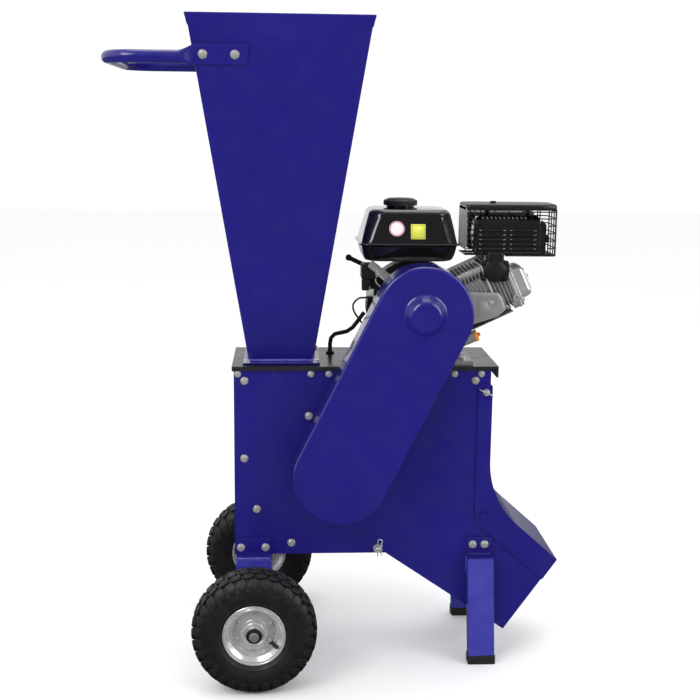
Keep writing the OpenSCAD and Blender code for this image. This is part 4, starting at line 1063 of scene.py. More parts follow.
def build_tank():
    bm = bmesh.new()
    # upper shell: straight skirt, drawn sides, wide round shoulder and a slightly crowned top
    lv = [(912.9, 223.5, 430.5, -62.5, 126.5, 24), (914.5, 224.6, 429.4, -61.4, 125.4, 24), (917, 225.5, 428.5, -60.5, 124.5, 24)]
    top_x0, top_x1, top_y0, top_y1 = 239.5, 417.5, -47.0, 106.0
    zs = (924, 932, 941, 950, 959, 968)
    for z in zs:
        t = (z - 917) / (970 - 917)
        e = 0.82 * t + 0.18 * t * t
        lv.append((z, 225.5 + (top_x0 - 225.5) * e, 428.5 + (top_x1 - 428.5) * e, -60.5 + (top_y0 + 60.5) * e, 124.5 + (top_y1 - 124.5) * e, 27 + 6 * t))
    r = 14.5
    for k in range(0, 10):
        a = (math.pi / 2) * k / 9
        ins, up = r * (1 - math.cos(a)), r * math.sin(a)
        lv.append((969.6 + up, top_x0 + ins, top_x1 - ins, top_y0 + ins, top_y1 - ins, 33 - ins * 0.5))
    lv.append((985.2, top_x0 + 34, top_x1 - 34, top_y0 + 34, top_y1 - 34, 18))
    lv.append((985.9, top_x0 + 60, top_x1 - 60, top_y0 + 60, top_y1 - 60, 8))
    rloft_z(bm, lv, 9, 8)
    # lower shell
    lw = [(909.8, 224.8, 429.2, -61.2, 127.2, 24), (906, 225.6, 428.4, -60.4, 126.4, 24), (898, 227.0, 426.9, -58.6, 124.6, 24), (888, 229.2, 424.4, -56.4, 121.4, 25),
          (880.4, 231.6, 421.6, -53.6, 118.6, 26), (876.6, 235, 418.5, -49.5, 114.5, 26), (874.8, 241, 412.5, -43, 108, 24), (874.2, 258, 396, -22, 88, 18)]
    rloft_z(bm, list(reversed(lw)), 9, 8)
    # rolled seam flange
    rings = []
    cs = [(0, 909.6), (0, 913.4)]
    for ins, z in ((6, 909.9), (1.2, 909.6), (0.2, 910.2), (0, 911.4), (0.2, 912.8), (1.2, 913.5), (6, 913.2)):
        rings.append([(a, b, z) for a, b in rrect(219.6 + ins, 433.7 - ins, -66 + ins, 130 - ins, 22 - ins * 0.6, 9, 8)])
    loft(bm, rings, caps=True)
    # filler neck
    lathe(bm, fillet([(0, 984), (31, 984), (30.2, 989.6, 1.2), (0, 989.6)], 4), (312, 20, 0), (0, 0, 1), 64, closed=False)
    piece("fuel_tank_shells", bm, "root", "black_enamel", repl=("fuel_tank",), even=True)
    # blank round and square notices on the near face
    t = math.atan((14.5 - 1) / 51)
    for name, x, z, shape, col in (("tank_notice_round", 298.5, 945.0, "r", 0), ("tank_notice_square", 343.5, 939.0, "s", 1)):
        k = (z - 917) / 53
        e = 0.82 * k + 0.18 * k * k
        yy = -60.5 + 13.5 * e
        slope = math.atan2(13.5, 53.0)
        m = Matrix.Translation((x, yy, z)) @ Matrix.Rotation(-slope, 4, "X")
        bm = bmesh.new()
        s = bmesh.new()
        if shape == "r":
            lathe(s, fillet([(0, -0.3), (16.2, -0.3), (16.2, 0.35, 0.2), (0, 0.35)], 3), (0, 0, 0), (0, -1, 0), 56, closed=False)
        else:
            o = rrect(-15.5, 15.5, -16.0, 16.0, 1.6, 4)
            prism(s, o, -0.35, 0.3)
        into(bm, s, m)
        piece(name, bm, "root", "red_plastic" if shape == "r" else "orange_plastic", mat=NOTICE[0] if shape == "r" else NOTICE[2], even=False)
        bm = bmesh.new()
        s = bmesh.new()
        if shape == "r":
            lathe(s, fillet([(13.4, 0.2), (15.6, 0.2), (15.6, 0.6, 0.15), (13.4, 0.6, 0.15)], 2, closed=True), (0, 0, 0), (0, -1, 0), 56)
        else:
            a = rrect(-13.2, 13.2, -13.7, 13.7, 1.0, 3)
            b = rrect(-12.2, 12.2, -12.7, 12.7, 0.6, 3)
            loft(s, [[(p[0], -0.2, p[1]) for p in a], [(p[0], -0.55, p[1]) for p in a], [(p[0], -0.55, p[1]) for p in b], [(p[0], -0.2, p[1]) for p in b]], loop=True)
        into(bm, s, m)
        piece(name + "_border", bm, "root", "red_plastic", mat=NOTICE[1] if shape == "r" else NOTICE[3], even=False)


NOTICE = (
    surface("notice_pale", (0.80, 0.74, 0.76), 0.35, var=0.04, bumps=((900, 0.05, 0.0001),)),
    surface("notice_pink", (0.62, 0.14, 0.24), 0.35, var=0.06, bumps=((900, 0.05, 0.0001),)),
    surface("notice_yellow", (0.78, 0.80, 0.10), 0.35, var=0.04, bumps=((900, 0.05, 0.0001),)),
    surface("notice_line", (0.35, 0.38, 0.06), 0.35, var=0.06, bumps=((900, 0.05, 0.0001),)),
)
build_tank()


def build_cap():
    bm = bmesh.new()
    prof = fillet([(0, 990.0), (33, 990.0), (36.6, 990.4, 0.8), (36.6, 1000.4, 2.4), (33.4, 1002.4, 1.4), (30.6, 1002.4, 0.8), (29.4, 1004.6, 1.0), (24, 1005.2, 2), (21, 1003.9, 1.2), (0, 1003.7)], 4)
    lathe(bm, prof, (312, 20, 0), (0, 0, 1), 192, closed=False,
          wobble=lambda a, t: (-0.9 * max(0.0, math.cos(a * 32)) ** 0.5 * (1 if 990.8 < t < 1001.6 else 0)) if math.cos(a * 32) > 0 else 0)
    # grip bar across the top
    rbox(bm, 312 - 20.5, 312 + 20.5, 20 - 3.6, 20 + 3.6, 1001, 1005.0, 1.6, 3)
    piece("tank_cap_moulding", bm, "fuel_cap", "black_plastic", repl=("tank_cap",), even=True)


build_cap()


def build_muffler():
    bm = bmesh.new()
    # shell in two pressed halves: cushion-shaped, with a rolled seam
    lv = []
    for t in range(0, 13):
        a = math.pi * t / 12
        ins = 17 * (1 - math.sin(a) ** 0.5)
        z = 936.0 - 37.5 * math.cos(a)
        lv.append((z, 457.5 + ins, 601.5 - ins, -90 + ins, -27 - ins, 16))
    rloft_z(bm, lv, 7, 6)
    rings = []
    for ins, z in ((3, 934.7), (0.4, 934.5), (0, 936), (0.4, 937.5), (3, 937.3)):
        rings.append([(x, y, z) for x, y in rrect(456.2 + ins, 602.8 - ins, -90.6 + ins, -25.6 - ins, 17, 7, 6)])
    loft(bm, rings)
    # exhaust elbow with a square flange on the head
    tube(bm, smooth_path([(502, -74, 852), (502, -74, 868), (503, -70, 884), (505, -62, 906)], 5), 19.5, 28)
    piece("muffler_body", bm, "root", "black_enamel", repl=("muffler",), even=True)
    # heat shield in front: one pressed sheet whose top rolls back, ribs in two columns
    bm = bmesh.new()
    x0, x1, z0, z1 = 460.0, 596.0, 899.5, 960.0
    yf = -93.4
    ribs = []
    for k in range(5):
        ribs.append(906.5 + k * 9.6)

    def relief(x, z):
        g = 0.0
        for c0, c1 in ((466.0, 523.0), (531.0, 588.0)):
            if c0 < x < c1:
                e = min(1.0, (x - c0) / 6.0, (c1 - x) / 6.0)
                for zc in ribs:
                    d = (z - zc) / 3.0
                    if abs(d) < 1:
                        g = max(g, 3.3 * e * (1 - d * d) ** 0.5 if d > -0.2 else 3.3 * e * max(0.0, 1 - (abs(d) - 0.2) / 0.25))
        return g
    NX, prof = 64, []
    z = z0
    while z < z1 - 0.01:
        prof.append((z, yf, 1.0))
        z += 0.55
    # rolled top
    for k in range(0, 11):
        a = math.radians(88) * k / 10
        prof.append((z1 + 16.5 * math.sin(a), yf + 16.5 * (1 - math.cos(a)), 0.0))
    xs = sorted({x0, x1, 466.0, 523.0, 531.0, 588.0} | {x0 + (x1 - x0) * i / NX for i in range(NX + 1)})
    front, back = [], []
    for zz, yy, w in prof:
        rise = max(0.0, (zz - z1) / 16.5)
        row, row2 = [], []
        for x in xs:
            # the corners of the sheet are rounded where the top rolls back
            pull = 6.0 * rise * rise
            xx = x0 + pull + (x - x0) * (x1 - x0 - 2 * pull) / (x1 - x0)
            y = yy - (relief(x, zz) if w else 0.0)
            row.append(bm.verts.new((xx, y, zz)))
            row2.append(bm.verts.new((xx, yy + 1.3 if w else yy + 1.3 * math.cos(math.radians(88) * rise), zz - (0 if w else 1.3 * rise))))
        front.append(row)
        back.append(row2)
    for i in range(len(prof) - 1):
        for j in range(len(xs) - 1):
            bm.faces.new((front[i][j], front[i][j + 1], front[i + 1][j + 1], front[i + 1][j]))
            bm.faces.new((back[i][j], back[i + 1][j], back[i + 1][j + 1], back[i][j + 1]))
    for i in range(len(prof) - 1):
        bm.faces.new((front[i][0], front[i + 1][0], back[i + 1][0], back[i][0]))
        bm.faces.new((front[i][-1], back[i][-1], back[i + 1][-1], front[i + 1][-1]))
    for j in range(len(xs) - 1):
        bm.faces.new((front[0][j], back[0][j], back[0][j + 1], front[0][j + 1]))
        bm.faces.new((front[-1][j], front[-1][j + 1], back[-1][j + 1], back[-1][j]))
    piece("muffler_heat_shield", bm, "root", "black_enamel", even=False)
    # side plate of the shield, and the row of slots along its top
    bm = bmesh.new()
    pl = fillet([(596.4, 893.5, 2), (607, 893.5, 2), (608.5, 958, 8), (600, 967, 5), (596.4, 967, 1)], 4, closed=True)
    prism(bm, pl, -92.6, -90.8)
    prism(bm, [(x * 1.0, z) for x, z in rrect(606.4, 608.2, 894, 956, 0.8, 2)], -92.6, -30)
    piece("muffler_shield_side", bm, "root", "black_sheet", bevel=0.4, even=True)
    bm = bmesh.new()
    for k in range(11):
        x = 474 + k * 9.0
        s = bmesh.new()
        rbox(s, -1.9, 1.9, -1.5, 1.5, -3.8, 3.8, 1.2, 2)
        into(bm, s, Matrix.Translation((x, -87.6, 972.2)) @ Matrix.Rotation(math.radians(-28), 4, "Y") @ Matrix.Rotation(math.radians(-52), 4, "X"))
    piece("muffler_shield_slots", bm, "root", "bare_steel", even=True)
    bm = bmesh.new()
    # tail pipe with a spark arrester screw
    lathe(bm, fillet([(0, 0), (8.6, 0), (8.6, 12, 1.6), (6.6, 13, 0.6), (6.6, 6), (0, 6)], 3), (606, -66, 927), (1, 0, 0), 36, closed=False)
    lathe(bm, fillet([(0, 4), (4.4, 4), (4.4, 15, 1.6), (0, 15)], 3), (606, -66, 927), (1, 0, 0), 24, closed=False)
    for x, y in ((488, -59), (575, -59)):
        lathe(bm, [(0, 968), (5.2, 968), (5.2, 999), (0, 999)], (x, y, 0), (0, 0, 1), 20, closed=False)
    piece("muffler_fittings", bm, "root", "black_plastic", even=True)


build_muffler()


def build_cage():
    bm = bmesh.new()
    X0, X1, Y0, Y1, ZT = 436.2, 629.8, -108.0, -6.0, 1001.0
    # top sheet with a turned-down lip all round
    rings = []

    def sheet(ins, z, r):
        """Tight corners by the engine, a wide round at the far end."""
        p = rrect(X0 + ins, X1 - ins, Y0 + ins, Y1 - ins, r, 9, 8)
        out = []
        for a, b in p:
            cx = X1 - ins - 30
            if a > cx:
                # squeeze the end towards a wide arc
                k = (a - cx) / 30.0
                half = (Y1 - Y0) / 2 - ins
                mid = (Y0 + Y1) / 2
                lim = half - 22 * (1 - math.sqrt(max(0.0, 1 - k * k)))
                b = mid + max(-lim, min(lim, b - mid))
            out.append((a, b, z))
        return out
    for ins, z in ((0.0, 988.4), (0.0, 994), (0.3, 997.0), (1.4, 999.4), (3.2, 1000.6), (5.6, 1001.0)):
        rings.append(sheet(ins, z, 8))
    inner = []
    for ins, z in ((7.0, 999.4), (4.4, 999.0), (2.8, 997.4), (1.6, 994), (1.6, 988.4)):
        inner.append(sheet(ins, z, 7))
    rr = [ring_verts(bm, r) for r in rings + inner]
    for a, b in zip(rr, rr[1:len(rings)]):
        bridge(bm, a, b)
    fan_cap(bm, rr[len(rings) - 1])
    for a, b in zip(rr[len(rings):], rr[len(rings) + 1:]):
        bridge(bm, a, b)
    fan_cap(bm, rr[len(rings)])
    bridge(bm, rr[-1], rr[0])
    # bolt on top
    hex_head(bm, (500, -59, 1000.8), (0, 0, 1), 6.2, 3.4, 8.0, 1.0)
    piece("muffler_guard_top", bm, "root", "black_sheet", repl=("muffler_cage",), even=True)
    bm = bmesh.new()
    # pale plate on the engine side, slotted
    outline = rrect(Y0 + 0.6, Y1 - 0.6, 907, 996, 11, 6)
    prism(bm, outline, X0 + 0.0, X0 + 1.8, "yz")
    for k in range(6):
        z = 918 + k * 12
        rbox(bm, X0 - 0.1, X0 + 3.6, Y0 + 18, Y1 - 16, z - 2.0, z + 2.0, 1.4, 2)
    piece("muffler_guard_side", bm, "root", "shroud_steel", bevel=0.4, even=True)
    # welded wire round the hot end
    bm = bmesh.new()
    r = 1.3
    xr, yn, yf = X1 - 1.6, Y0 + 1.6, Y1 - 1.6
    zb = 894.6
    corner = 12.0

    def hoop(z, x_from, r=r):
        """A wire from the near face round the end to the far face."""
        p = [(x_from, yn, z), (xr - corner - 4, yn, z)]
        for k in range(0, 7):
            a = math.radians(-90 + 90 * k / 6)
            p.append((xr - corner + corner * math.cos(a), yn + corner + corner * math.sin(a), z))
        for k in range(0, 7):
            a = math.radians(90 * k / 6)
            p.append((xr - corner + corner * math.cos(a), yf - corner + corner * math.sin(a), z))
        p.append((437.5, yf, z))
        tube(bm, p, r, 8)
    hoop(zb, 520)
    for z in (910, 925.5, 941, 956.5):
        hoop(z, 609)
    hoop(971.5, 590)
    hoop(985.5, 552)
    tube(bm, [(609, yn - r * 0.8, zb - 1), (609, yn - r * 0.8, 990)], r, 8)
    for x in (556, 573, 590):
        tube(bm, [(x, yn - r * 0.8, 972), (x, yn - r * 0.8, 990)], r, 8)
    a = math.radians(-45)
    tube(bm, [(xr - corner + corner * math.cos(a), yn + corner + corner * math.sin(a), zb - 1), (xr - corner + corner * math.cos(a), yn + corner + corner * math.sin(a), 990)], r, 8)
    for k in range(4):
        y = yn + 16 + k * (yf - yn - 32) / 3
        tube(bm, [(xr + r * 0.5, y, zb - 1), (xr + r * 0.5, y, 990)], r, 8)
    for k in range(6):
        x = 452 + k * 31
        tube(bm, [(x, yf + 0.4, zb - 1), (x, yf + 0.4, 990)], r, 8)
    # slanted wires beside the plate
    for k in range(7):
        z = 912 + k * 11.5
        tube(bm, [(438.2, yn, z + 9), (454, yn, z)], r * 0.9, 8)
    tube(bm, [(454, yn, 908), (454, yn, 990)], r, 8)
    tube(bm, [(438.2, yn, 909), (454, yn, 909)], r, 8)
    for y in (-84, -60, -32):
        tube(bm, [(438, y, zb), (xr, y, zb)], r, 8)
    piece("muffler_guard_wires", bm, "root", "black_sheet", even=False)


build_cage()


def fin(bm, u, th, y0, y1, v0, v1, r, cut=None):
    """One cast fin, square to the bore, with a rounded rim."""
    s = bmesh.new()
    out = rrect(y0, y1, v0, v1, r, 5)
    out2 = rrect(y0 + 0.7, y1 - 0.7, v0 + 0.7, v1 - 0.7, r - 0.6, 5)
    rings = [[(u, a, b) for a, b in out2], [(u + 0.5, a, b) for a, b in out], [(u + th - 0.5, a, b) for a, b in out], [(u + th, a, b) for a, b in out2]]
    loft(s, rings, flat=True)
    into(bm, s, CYL)


def build_cylinder():
    bm = bmesh.new()
    s = bmesh.new()
    lathe(s, fillet([(34.0, 92), (34.0, 160), (43.5, 160, 1), (43.5, 92)], 3, closed=True), (0, -39, 0), (1, 0, 0), 56)
    into(bm, s, CYL)
    rbox(bm, 92.1, 98.5, -84, 6, -50, 50, 3, 3, CYL)
    for k in range(7):
        fin(bm, 102.5 + k * 8.2, 1.7, -90, 12, -58, 56, 8)
    for v in (-46, 44):
        for y in (-82, 4):
            s = bmesh.new()
            lathe(s, [(0, 92.1), (7.6, 92.1), (7.6, 160), (0, 160)], (0, y, v), (1, 0, 0), 20, closed=False)
            into(bm, s, CYL)
    piece("cylinder_casting", bm, "root", "cast_aluminium", repl=("cylinder_barrel",), even=True)

    bm = bmesh.new()
    rbox(bm, 160.1, 166.5, -92, 14, -60, 54, 5, 3, CYL)
    rbox(bm, 164, 207, -78, 0, -46, 38, 5, 3, CYL)
    for k in range(5):
        fin(bm, 172.0 + k * 7.4, 1.7, -90, 12, -60, 54, 7)
    rbox(bm, 205.5, 214.5, -87, 9, -66, 28, 4, 3, CYL)
    for v in (-57, 19):
        for y in (-78, 0):
            s = bmesh.new()
            lathe(s, fillet([(0, 196), (8.4, 196), (8.4, 218, 1.2), (4.2, 218, 0.4), (4.2, 214.5), (0, 214.5)], 3), (0, y, v), (1, 0, 0), 28, closed=False)
            into(bm, s, CYL)
    # boss on the near side of the head's flange
    s = bmesh.new()
    lathe(s, fillet([(0, 84), (8.2, 84), (8.2, 91.5, 1.0), (4.0, 91.5, 0.4), (4.0, 88), (0, 88)], 3), tuple(Vector((206, 0, -44))), (0, -1, 0), 28, closed=False)
    into(bm, s, CYL)
    piece("cylinder_head_casting", bm, "root", "cast_aluminium", repl=("cylinder_head",), even=True)
    # black flange block over the exhaust port
    bm = bmesh.new()
    lathe(bm, fillet([(0, 60), (27, 60), (27, 90, 3), (22, 95, 4), (13, 97.5, 3), (0, 97.8)], 5), (503, 0, 863), (0, -1, 0), 48, closed=False)
    fl = fillet([(474, 851, 7), (482, 838.6, 7), (524, 838.6, 7), (533, 851, 7), (533, 873, 7), (524, 884, 7), (482, 884, 7), (474, 873, 7)], 4, closed=True)
    prism(bm, fl, -91.0, -84.0)
    rbox(bm, 484, 522, -95.5, -70, 868, 903, 8, 4)
    for x, z in ((480, 846), (526, 846), (480, 877), (526, 877)):
        hex_head(bm, (x, -91, z), (0, -1, 0), 4.6, 4.2, 6.2, 1.0, turn=x)
    piece("exhaust_flange", bm, "root", "black_sheet", even=True)

    # rocker cover: a deep-drawn polished pan
    bm = bmesh.new()
    rings = []
    for u, ins, r in ((214.6, 0, 12), (216.8, 0, 12), (217.6, 0.6, 12), (218.0, 4.5, 12), (219.6, 6.4, 13), (236, 8.2, 13), (240.2, 9.2, 13), (243.2, 11.6, 13), (245.0, 15.2, 12), (245.6, 20, 10)):
        rings.append([tuple(cyl(u, a, b)) for a, b in rrect(-84 + ins, 6 - ins, -62 + ins, 24 - ins, r, 8, 6)])
    loft(bm, rings)
    s = bmesh.new()
    rbox(bm, 244, 248.4, -66, -12, -42, 4, 4, 3, CYL)
    piece("rocker_cover_pan", bm, "root", "chrome", repl=("rocker_cover",), even=True)
    bm = bmesh.new()
    for y, v in ((-76, -54), (-76, 16), (-2, -54), (-2, 16), (-39, -19)):
        hex_head(bm, cyl(217.6 if (y, v) != (-39, -19) else 248.4, y, v), (C25, 0, S25), 5.0, 4.2, 6.4, 1.0, turn=y)
    piece("rocker_cover_screws", bm, "root", "zinc_plate", even=True)


build_cylinder()


def build_shroud():
    bm = bmesh.new()
    # outline in the machine's own X and Z, level along the top
    edge = fillet([(446, 816.6, 1.5), (513, 815.6, 7), (521, 806, 5), (531.5, 780, 8), (511, 762.5, 7), (446, 741.5, 1.5)], 6, closed=True)
    c = Vector((486.0, 785.0))
    sc = (497.5, 793.0)
    N, K = len(edge), 16

    def height(x, z, e):
        """Y of the sheet; e is 0 at the rim and 1 well inside."""
        d = math.hypot(x - sc[0], z - sc[1])
        y = -96.6 + 5.0 * math.exp(-(d / 11.5) ** 2)
        q = min(1.0, e / 0.17)
        y += 9.0 * (1 - math.sqrt(max(0.0, 1 - (1 - q) ** 2)))
        # a shallow step runs down the panel
        y += 2.2 / (1 + math.exp((x - 470) / 1.5))
        return y
    front, back = [], []
    for k in range(K + 1):
        e = (k / K) ** 1.5 if k < K else 1.0
        row, row2 = [], []
        for x, z in edge:
            px, pz = x + (c.x - x) * e * 0.985, z + (c.y - z) * e * 0.985
            y = height(px, pz, e)
            row.append(bm.verts.new((px, y, pz)))
            row2.append(bm.verts.new((px, y + 1.5, pz)))
        front.append(row)
        back.append(row2)
    for k in range(K):
        for i in range(N):
            j = (i + 1) % N
            bm.faces.new((front[k][i], front[k][j], front[k + 1][j], front[k + 1][i]))
            bm.faces.new((back[k][i], back[k + 1][i], back[k + 1][j], back[k][j]))
    bm.faces.new(front[K])
    bm.faces.new(list(reversed(back[K])))
    for i in range(N):
        j = (i + 1) % N
        bm.faces.new((front[0][i], back[0][i], back[0][j], front[0][j]))
    rbox(bm, 88, 190, -88, 14, -68, -66, 0.9, 2, CYL)
    # side wall that carries the panel round under the cylinder
    s = bmesh.new()
    out = fillet([(449, 812, 3), (510, 811, 6), (526, 780, 6), (508, 766, 5), (449, 747, 3)], 4, closed=True)
    prism(bm, out, -88.4, -80)
    piece("cylinder_shroud_panel", bm, "root", "shroud_steel", repl=("cylinder_shroud",), even=False)
    bm = bmesh.new()
    hex_head(bm, (sc[0], -91.8, sc[1]), (0, -1, 0), 5.0, 4.2, 8.0, 1.2, turn=0.4)
    piece("cylinder_shroud_screw", bm, "root", "zinc_plate", even=True)


build_shroud()


def build_air_cleaner():
    bm = bmesh.new()
    lv = [(896, 466, 600, 20, 114, 15), (897, 463.5, 602.5, 17.5, 116.5, 16), (900, 462, 604, 16, 118, 17), (963, 462, 604, 16, 118, 17), (966, 463, 603, 17, 117, 16)]
    rloft_z(bm, lv, 7, 5)
    lv = [(965.5, 460, 606, 14, 120, 17), (966.2, 458.4, 607.6, 12.4, 121.6, 18), (968, 458, 608, 12, 122, 18), (974, 458.6, 607.4, 12.6, 121.4, 18)]
    for k in range(1, 6):
        a = (math.pi / 2) * k / 5
        lv.append((974 + 3.5 * math.sin(a), 458.6 + 6 * (1 - math.cos(a)), 607.4 - 6 * (1 - math.cos(a)), 12.6 + 6 * (1 - math.cos(a)), 121.4 - 6 * (1 - math.cos(a)), 18))
    lv.append((978.4, 490, 576, 44, 90, 16))
    rloft_z(bm, lv, 7, 5)
    # wing nut boss and its knob
    lathe(bm, fillet([(0, 977), (13, 977), (12.4, 981, 1), (8, 981.6, 1), (7, 985, 1), (0, 985)], 3), (533, 67, 0), (0, 0, 1), 36, closed=False)
    for w in (-1, 1):
        rbox(bm, 533 + (6 if w > 0 else -19), 533 + (19 if w > 0 else -6), 65.4, 68.6, 980.4, 985, 1.4, 2)
    # intake louvres on the far face
    for k in range(7):
        rbox(bm, 480, 586, 116.8, 119.6, 904 + k * 8.0, 907 + k * 8.0, 1.2, 2)
    rbox(bm, 508, 538, 70, 100, 886, 898, 2.4, 2)
    piece("air_cleaner_box", bm, "root", "black_plastic", repl=("air_cleaner",), even=True)


build_air_cleaner()


def build_oil_cap():
    bm = bmesh.new()
    o = Vector((EX + 69, -60, 693.6))
    ax = Vector((math.sin(math.radians(67)), 0, math.cos(math.radians(67))))
    lathe(bm, fillet([(0, 37), (8.4, 37), (8.4, 58.2), (12.6, 58.2, 0.6), (12.6, 65.6, 0.8), (0, 65.6)], 3), o, ax, 96, closed=False,
          wobble=lambda a, t: (-0.5 if (math.cos(a * 24) > 0.2 and 59.4 < t < 64.6) else 0))
    # grip: a bar with rounded ends
    u, v, w = frame_of(ax)
    rings = []
    for t in [i / 10 for i in range(11)]:
        q = -10.8 + 21.6 * t
        g = math.sqrt(max(0.02, 1 - ((t - 0.5) / 0.52) ** 4))
        c = o + w * 64.9 + u * q
        row = []
        for k in range(16):
            a = TAU * k / 16
            cc, ss = math.cos(a), math.sin(a)
            row.append(c + v * (3.3 * g * math.copysign(abs(cc) ** 0.6, cc)) + w * (3.6 + 3.6 * g * math.copysign(abs(ss) ** 0.6, ss)))
        rings.append(row)
    loft(bm, rings)
    piece("oil_cap_moulding", bm, "oil_filler", "orange_plastic", repl=("oil_cap",), even=True)


build_oil_cap()


def bead(bm, a, b, r=2.6, seed=0.0):
    """A rippled weld along a straight joint."""
    a, b = Vector(a), Vector(b)
    n = max(12, int((b - a).length / 1.4))
    path = [tuple(a + (b - a) * k / n) for k in range(n + 1)]
    L = (b - a).length
    tube(bm, path, r, 8, radius=lambda t: r * (0.35 if t in (0, 1) else 1.0) + 0.55 * math.sin(t * L * 1.45) + 0.5 * noise.noise(Vector((t * L * 0.13, seed, 0.4))))


def build_leg_welds():
    bm = bmesh.new()
    for s in (-1, 1):
        # front legs under their fixing plates
        bead(bm, (459.5, s * 112.0, 243.4), (509.5, s * 112.0, 243.4), 2.4, 1.0 + s)
        bead(bm, (457.6, s * 110.4, 205), (457.6, s * 110.4, 240), 1.8, 3.0 + s)
    piece("front_leg_welds", bm, "root", "blue_paint", mat=LEG_PAINT_WITH_PAINTED_SHEEN, even=False)
    bm = bmesh.new()
    for s in (-1, 1):
        bead(bm, (-39, s * 111.2, 236.6), (31, s * 111.2, 236.6), 2.9, 5.0 + s)
        bead(bm, (33.2, s * 112.0, 207), (33.2, s * 112.0, 234), 2.0, 7.0 + s)
    # the wheel-leg beads take the paler blue, which is a painted highlight
    piece("wheel_leg_welds", bm, "root", "blue_paint", mat=WELD_PAINT_HIGHLIGHT, even=False)


build_leg_welds()


def build_controls():
    """Pale governor strip, cable plugs and the thin wires at the engine's left end."""
    bm = bmesh.new()
    a, b = Vector((242.5, 871.0)), Vector((294.0, 831.0))
    d = (b - a).normalized()
    n = Vector((-d.y, d.x)) * 8.5
    prism(bm, fillet([(a.x + n.x, a.y + n.y, 3), (b.x + n.x, b.y + n.y, 1), (b.x - n.x, b.y - n.y, 1), (a.x - n.x, a.y - n.y, 3)], 4, closed=True), -49.0, -46.6)
    f = n * 0.86
    prism(bm, [(a.x + n.x, a.y + n.y), (b.x + n.x, b.y + n.y), (b.x + f.x, b.y + f.y), (a.x + f.x, a.y + f.y)], -52.0, -46.8)
    piece("governor_strip", bm, "root", "shroud_steel", bevel=0.3, even=True)
    bm = bmesh.new()
    rbox(bm, 236.5, 252.5, -44.5, -36, 799.5, 815, 1.6, 3)
    rbox(bm, 238.5, 250.5, -46, -40, 802, 812.5, 1.2, 2)
    rbox(bm, 251.5, 262, -43, -35, 787, 800, 1.6, 3)
    piece("cable_plugs", bm, "root", "bare_steel", mat=PLUG, even=True)
    bm = bmesh.new()
    rbox(bm, 226.8, 243, -45.5, -30, 812, 836, 2.4, 3)
    tube(bm, smooth_path([(246, -40, 800), (238, -42, 797), (222, -42, 795.5), (211, -41, 786), (208.5, -38, 775), (213, -36, 762), (223, -34, 748), (232, -32, 736), (245, -30, 726), (262, -28, 722), (285, -26, 722)], 6), 2.0, 10)
    piece("engine_wires", bm, "root", "black_plastic", even=True)
    bm = bmesh.new()
    tube(bm, smooth_path([(256, -40, 838), (258, -42, 828), (266, -44, 820), (268, -46, 806), (262, -46, 795), (258, -44, 786), (260, -42, 772), (270, -40, 762), (286, -36, 758)], 6), 1.5, 8)
    tube(bm, smooth_path([(252, -47, 862), (262, -50, 846), (272, -50, 836), (280, -48, 826)], 6), 1.2, 8)
    piece("governor_rod", bm, "root", "zinc_plate", even=True)


PLUG = surface("cable_plug", (0.46, 0.47, 0.44), 0.42, var=0.10, rvar=0.08, cscale=60, rscale=90, bumps=((900, 0.2, 0.0002),))
build_controls()


